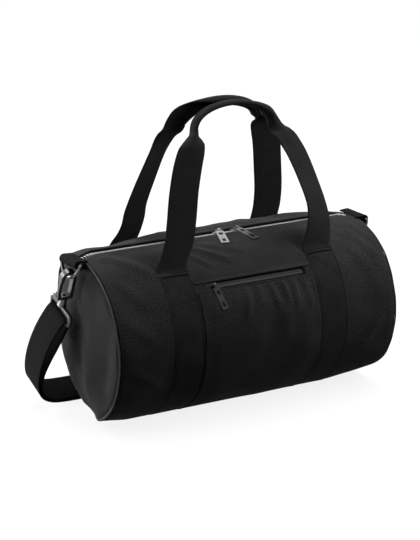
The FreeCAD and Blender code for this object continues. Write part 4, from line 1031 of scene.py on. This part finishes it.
def handle(place, left_sway, right_sway, ends, end_curl, loosens, fat, facing):
    """A handle in one length of webbing: left leg, rolled grip, right leg, as seen from its own side.
    Past loosens, a share of the grip, the roll opens to end_curl."""
    left = handle_knots(f"{place}_left", left_sway)
    right = handle_knots(f"{place}_right", right_sway)
    half, middle = (ends[1] - ends[0]) / 2, (ends[1] + ends[0]) / 2
    grip = []
    for angle in np.radians(np.linspace(-78, 78, 11)):
        c, s = math.cos(angle), math.sin(angle)
        length = math.hypot(half * c, GRIP_RISE * s)
        grip.append((
            middle + half * s, GRIP_Y - GRIP_DIP * (1 - c), GRIP_Z + GRIP_RISE * c,
            -GRIP_RISE * s / length, 0, -half * c / length,
            1 - (1 - end_curl) * float(smooth((s - loosens) / (1 - loosens))),
        ))
    turned = [(x, y, z, -ax, -ay, -az, curl) for x, y, z, ax, ay, az, curl in reversed(right)]
    rows = through(left + grip + turned, 260)
    rings, lay = webbing_rings(rows[:, :3], rows[:, 3:6], curl=rows[:, 6], fat=fat)
    flip = np.array([facing, facing, 1.0])
    strip = tube(f"{place}_handle_webbing", rings * flip, WEB_PAINTED_LIGHTER, lay)
    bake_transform(strip)
    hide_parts(f"{place}_handle")


handle("front", 13.0, 13.0, (-42.0, 66.0), 0.64, 0.5, 0.36, 1)
handle("rear", -6.0, -9.0, (-61.0, 50.5), 0.36, 0.1, 0.8, -1)


# Strap tabs and shoulder strap


def strap_tab(side):
    """Webbing folded round the ring's bar, its two ends sewn into the end seam."""
    name = SIDES[side]
    bar_x, bar_z, roll = -199.5, 193.5, 4.4
    bends = np.radians(np.linspace(0, 180, 9))
    arc = [(bar_x - roll * math.sin(a), bar_z + roll * math.cos(a)) for a in bends]
    path = [(-188.5, 197.2), (-193.0, 197.6)] + arc + [(-193.0, 189.3), (-188.5, 190.0)]
    line = through([(side * -x, 0, z) for x, z in path], 60)
    rings, lay = webbing_rings(line, np.tile([0.0, 1.0, 0.0], (60, 1)), thick=1.55)
    tab = tube(f"{name}_tab_webbing", rings, TAB_WEB_PAINTED_SHADE, lay)
    on_bag(tab, f"{name}_strap_tab")


strap_tab(-1)
strap_tab(1)

# The strap's ends hang tilted, their lower parts further back. STRAP_MIDDLE is the place of their middle
# lines on the tilted axis that runs across the strap.
TILT = math.radians(24)
TILT_SIN, TILT_COS = math.sin(TILT), math.cos(TILT)
STRAP_MIDDLE = 71.57


def hanging(x, level):
    """A route point of a strap's fall, from its own tilted plane into the bag's frame."""
    return (x, TILT_COS * STRAP_MIDDLE - TILT_SIN * level, TILT_SIN * STRAP_MIDDLE + TILT_COS * level)


LEFT_OUTER = [hanging(*p) for p in (
    (-203.55, 108.71), (-207.95, 108.71), (-215.0, 93.33), (-221.8, 72.18), (-225.8, 46.46),
    (-225.4, 18.35), (-219.0, -5.37), (-203.0, -18.26), (-180.0, -21.18), (-150.0, -21.18),
)]
LEFT_INNER = [hanging(*p) for p in (
    (-203.55, 108.71), (-199.15, 108.71), (-202.3, 94.33), (-207.8, 72.68), (-215.3, 48.97),
    (-220.0, 27.38), (-219.2, 8.18), (-211.8, -7.69), (-199.0, -15.65), (-179.0, -18.78), (-150.0, -18.78),
)]
RIGHT_OUTER = [(-x, y, z) for x, y, z in LEFT_OUTER]
RIGHT_SEWN = [hanging(*p) for p in (
    (203.55, 108.71), (199.15, 108.71), (201.13, 84.3), (203.47, 64.3),
)]
LEFT_RUN = [
    (-128.0, 76.96, 8.98), (-106.0, 84.1, 7.08), (-84.0, 91.27, 5.18), (-62.0, 94.23, 4.4),
    (10.0, 94.23, 4.4),
]
RIGHT_RUN = [
    (133.0, 76.96, 8.98), (116.0, 84.1, 7.08), (99.0, 91.27, 5.18), (82.0, 94.23, 4.4),
    (10.0, 94.23, 4.4),
]
DOUBLED_RUN = [
    (-150.0, 73.04, 11.95), (-128.0, 76.1, 11.2), (-106.0, 83.5, 9.4), (-84.0, 91.1, 7.55),
    (-62.0, 94.23, 6.8), (53.4, 94.23, 6.8),
]
TAIL = [(53.6, 94.23, 6.8), (62.5, 94.23, 6.8), (62.5, 94.23, 11.4), (53.6, 94.23, 11.4)]


def route_line(name, route):
    """Points, in millimetres, along the smooth spline that has the route's points as its control points."""
    curve = bpy.data.curves.new(name, "CURVE")
    curve.dimensions = "3D"
    spline = curve.splines.new("NURBS")
    spline.points.add(len(route) - 1)
    for point, place in zip(spline.points, route):
        point.co = (*(c * MM for c in place), 1)
    spline.order_u = 3
    spline.use_endpoint_u = True
    spline.resolution_u = 12
    holder = bpy.data.objects.new(name, curve)
    bpy.context.scene.collection.objects.link(holder)
    bpy.context.view_layer.update()
    mesh = bpy.data.meshes.new_from_object(holder)
    line = np.array([v.co[:] for v in mesh.vertices]) / MM
    bpy.data.objects.remove(holder)
    bpy.data.curves.remove(curve)
    bpy.data.meshes.remove(mesh)
    return line


def strap_across(line):
    """The strap's width: tilted where it hangs, turning flat where it lies behind the bag."""
    x = np.abs(line[:, 0])
    reach = np.where(line[:, 0] < 0, (150 - x) / 88, (150 - x) / 68)
    ease = (1 - np.cos(np.pi * np.clip(reach, 0, 1))) / 2
    tilt = TILT * (1 - ease)
    return np.stack([0 * tilt, np.cos(tilt), np.sin(tilt)], 1)


def strap_piece(name, line):
    """A length of the strap's webbing along a line."""
    rings, lay = webbing_rings(line, strap_across(line))
    strip = tube(name, rings, STRAP_WEB_PAINTED_SHADE, lay)
    return strip


def shoulder_strap():
    """The strap's two hanging ends, its run behind the bag, the doubled layer and the tail."""
    inner = strap_piece("strap_left_inner", route_line("inner_route", LEFT_INNER))
    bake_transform(inner)
    outer_line = route_line("left_route", LEFT_OUTER + LEFT_RUN)
    outer = strap_piece("strap_left_outer", outer_line)
    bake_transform(outer)
    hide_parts("strap_left_fall", "strap_rear_run")
    doubled = strap_piece("strap_doubled", route_line("doubled_route", DOUBLED_RUN))
    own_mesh(doubled)
    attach(doubled, "bag_body")
    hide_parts("strap_doubled_run")
    tail = strap_piece("strap_tail", route_line("tail_route", TAIL))
    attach(tail, "strap_adjuster")
    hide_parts("strap_tail_loop")
    sewn = strap_piece("strap_right_sewn_end", route_line("sewn_route", RIGHT_SEWN))
    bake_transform(sewn)
    rise_line = route_line("right_route", RIGHT_OUTER + RIGHT_RUN)
    rise = strap_piece("strap_right_outer", rise_line)
    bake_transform(rise)
    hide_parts("strap_right_rise", "strap_rear_run")


shoulder_strap()


# Metal and plastic fittings


# Where each hook hangs, in x and z; its loop lies below, tilted as the strap is.
HOOK_X, HOOK_Z = 203.549, 175.9


def hook_loop(side):
    """A hook's cast loop: a square ring with a heavy top bar and soft corners, under a ribbed collar."""
    name = SIDES[side]
    high, low, half = -44.4, -56.38, 22.6
    corner, low_corner = 3.4, 1.6
    corners = (
        (half - corner, high - corner, 0), (-half + corner, high - corner, 90),
        (-half + corner, low + low_corner, 180), (half - corner, low + low_corner, 270),
    )
    following = {
        0: (-half + corner, high), 90: (-half, low + low_corner),
        180: (half - corner, low), 270: (half, high - corner),
    }
    path = []
    for centre_w, centre_v, start in corners:
        bend = corner if start < 180 else low_corner
        for angle in np.radians(start + np.arange(0, 91, 15)):
            path.append((centre_w + corner * math.cos(angle), centre_v + bend * math.sin(angle)))
        last, after = path[-1], following[start]
        for share in np.linspace(0, 1, 12)[1:-1]:
            path.append((last[0] + (after[0] - last[0]) * share, last[1] + (after[1] - last[1]) * share))
    path = np.array(path)
    ahead = unit(np.roll(path, -1, 0) - np.roll(path, 1, 0))
    out = np.stack([ahead[:, 1], -ahead[:, 0]], 1)
    heavy = smooth((path[:, 1] - low - 2) / 8)
    around = np.radians(np.arange(0, 360, 24))
    rings = []
    for spot, aside, share in zip(path, out, heavy):
        deep, wide = 2.15 + 0.5 * share, 2.15 + 1.0 * share
        c, s = np.cos(around), np.sin(around)
        c, s = np.sign(c) * np.abs(c) ** 0.7, np.sign(s) * np.abs(s) ** 0.7
        rings.append(np.stack([deep * s, spot[0] + aside[0] * wide * c, spot[1] + aside[1] * wide * c], 1))
    rings = np.array(rings)
    faces = grid_faces(*rings.shape[:2], ring=True, closed=True)
    profile = [(-43.0, 5.4), (-41.6, 5.2), (-41.2, 3.6)]
    for rib in (-40.2, -37.6, -35.0, -32.6):
        profile += [(rib - 0.9, 3.7), (rib - 0.6, 4.6), (rib + 0.6, 4.6), (rib + 0.9, 3.7)]
    profile += [(-31.4, 3.4), (-31.2, 2.2), (-27.0, 2.2)]
    turns = np.radians(np.arange(0, 360, 20))
    collar = np.array([[(r * math.cos(a), r * math.sin(a), v) for a in turns] for v, r in profile])
    first = rings.reshape(-1, 3)
    points = np.vstack([first, collar.reshape(-1, 3)])
    faces += shifted(grid_faces(len(profile), len(turns), ring=True), len(first))
    x, across, up = points.T
    places = np.stack([
        side * HOOK_X + x, TILT_COS * across - TILT_SIN * up, HOOK_Z + TILT_SIN * across + TILT_COS * up,
    ], 1)
    cast = piece(f"{name}_cast_loop", places, faces, BLACK_PLATE, points[:, :2])
    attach(cast, f"{name}_hook_loop")
    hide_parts(f"{name}_hook_loop")


hook_loop(-1)
hook_loop(1)

FITTINGS = (
    (GUNMETAL, ("main_zip_slider_left", "main_zip_slider_right", "main_zip_puller_left")),
    (BLACK_PLATE, ("main_zip_puller_right", "left_d_ring", "right_d_ring")),
    (BLACK_PLATE, ("left_hook_body", "right_hook_body", "left_hook_gate", "right_hook_gate")),
    (DARK_PLATE, ("pocket_zip_slider", "pocket_zip_puller")),
    (PLASTIC, ("strap_adjuster",)),
)


def finish_fitting(node, finish):
    """A solid's own mesh with a finish on it and its sharp edges rounded."""
    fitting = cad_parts[node]
    for place in fitting.material_slots:
        place.link = "OBJECT"
        place.material = finish
    worn_edge = fitting.modifiers.new("rounded_edges", "BEVEL")
    worn_edge.width = 0.35 * MM
    worn_edge.segments = 2
    worn_edge.limit_method = "ANGLE"
    worn_edge.angle_limit = math.radians(40)


for fitting_finish, fitting_names in FITTINGS:
    for fitting_name in fitting_names:
        finish_fitting(fitting_name, fitting_finish)


# Floor, light and camera


class Backdrop(Finish):
    """The nodes of the floor's paint or of the world, made from an empty tree."""

    def __init__(self, owner):
        owner.use_nodes = True
        self.tree = owner.node_tree
        self.tree.nodes.clear()

    def seen(self):
        """1 for camera, mirror and glass rays, which meet a pale background; 0 for light itself."""
        camera, mirror, glass = (
            self.node("ShaderNodeLightPath", {}, {}, out=ray)
            for ray in ("Is Camera Ray", "Is Glossy Ray", "Is Transmission Ray")
        )
        either = self.node("ShaderNodeMath", {"operation": "MAXIMUM"}, {0: camera, 1: mirror})
        return self.node("ShaderNodeMath", {"operation": "MAXIMUM"}, {0: either, 1: glass})


def pale_floor():
    """A wide floor that is seen nearly white and still takes the shadow."""
    reach = 30
    corners = [(-reach, -reach, 0), (reach, -reach, 0), (reach, reach, 0), (-reach, reach, 0)]
    mesh = bpy.data.meshes.new("studio_floor")
    mesh.from_pydata(corners, [], [(0, 1, 2, 3)])
    floor = bpy.data.objects.new("studio_floor", mesh)
    bpy.context.scene.collection.objects.link(floor)
    paint = bpy.data.materials.new("pale_floor")
    nodes = Backdrop(paint)
    seen = nodes.seen()
    matt = nodes.node("ShaderNodeBsdfDiffuse", {}, {"Color": nodes.shades(seen, (0.03,) * 3, (0.86,) * 3)})
    glow = nodes.node("ShaderNodeEmission", {}, {"Strength": 1.0})
    both = nodes.node("ShaderNodeMixShader", {}, {0: seen * 0.86, 1: matt, 2: glow})
    nodes.node("ShaderNodeOutputMaterial", {}, {0: both})
    mesh.materials.append(paint)


def dim_room():
    """A dim room that is pale where it is seen."""
    world = bpy.data.worlds.new("studio_world")
    bpy.context.scene.world = world
    nodes = Backdrop(world)
    dim = nodes.node("ShaderNodeBackground", {}, {"Strength": 0.06})
    pale = nodes.node("ShaderNodeBackground", {}, {"Strength": 1.0})
    both = nodes.node("ShaderNodeMixShader", {}, {0: nodes.seen(), 1: dim, 2: pale})
    nodes.node("ShaderNodeOutputWorld", {}, {0: both})


# Kind, place and aim in metres, strength, and size: degrees for the sun, metres for the others.
LAMPS = {
    "top_sky": ("SUN", (0.6, 0.45, 2.0), (0, 0, 0), 3.3, 60),
    "left_window": ("AREA", (-2.25, 0.7, 0.85), (-0.1, 0, 0.1), 48.0, 1.6),
    "rear_window": ("AREA", (-0.9, 2.1, 0.8), (-0.1, 0, 0.1), 95.0, 1.2),
    "right_fill": ("AREA", (0.68, -0.42, 0.62), (0.25, 0, 0.15), 7.0, 0.45),
}


def lamps():
    """The sky, the windows and a small fill, which isn't mirrored in the metal."""
    for name, (kind, place, aim, strength, size) in LAMPS.items():
        lamp = bpy.data.lights.new(name, kind)
        lamp.energy = strength
        if kind == "SUN":
            lamp.angle = math.radians(size)
        else:
            lamp.shape = "SQUARE"
            lamp.size = size
        holder = bpy.data.objects.new(name, lamp)
        bpy.context.scene.collection.objects.link(holder)
        holder.location = place
        holder.visible_glossy = name != "right_fill"
        holder.rotation_mode = "QUATERNION"
        holder.rotation_quaternion = (Vector(aim) - Vector(place)).to_track_quat("-Z", "Y")


# The photograph's camera, in metres: place, direction, focal length and the frame's shift.
CAMERA_PLACE = (-1.3196, -2.1763, 0.9005)
CAMERA_AHEAD = Vector((0.4946, 0.8157, -0.3000))
FOCAL_LENGTH = 146.73
FRAME_SHIFT = (-0.0161, 0.078)


def photo_camera():
    """The camera of the photograph, as fitted to it."""
    lens = bpy.data.cameras.new("photo_camera")
    lens.sensor_width = 36.0
    lens.lens = FOCAL_LENGTH
    lens.shift_x, lens.shift_y = FRAME_SHIFT
    lens.clip_end = 200
    camera = bpy.data.objects.new("photo_camera", lens)
    bpy.context.scene.collection.objects.link(camera)
    camera.location = CAMERA_PLACE
    camera.rotation_mode = "QUATERNION"
    camera.rotation_quaternion = CAMERA_AHEAD.to_track_quat("-Z", "Y")
    bpy.context.scene.camera = camera


pale_floor()
dim_room()
lamps()
photo_camera()
bpy.context.scene.view_settings.view_transform = "Standard"
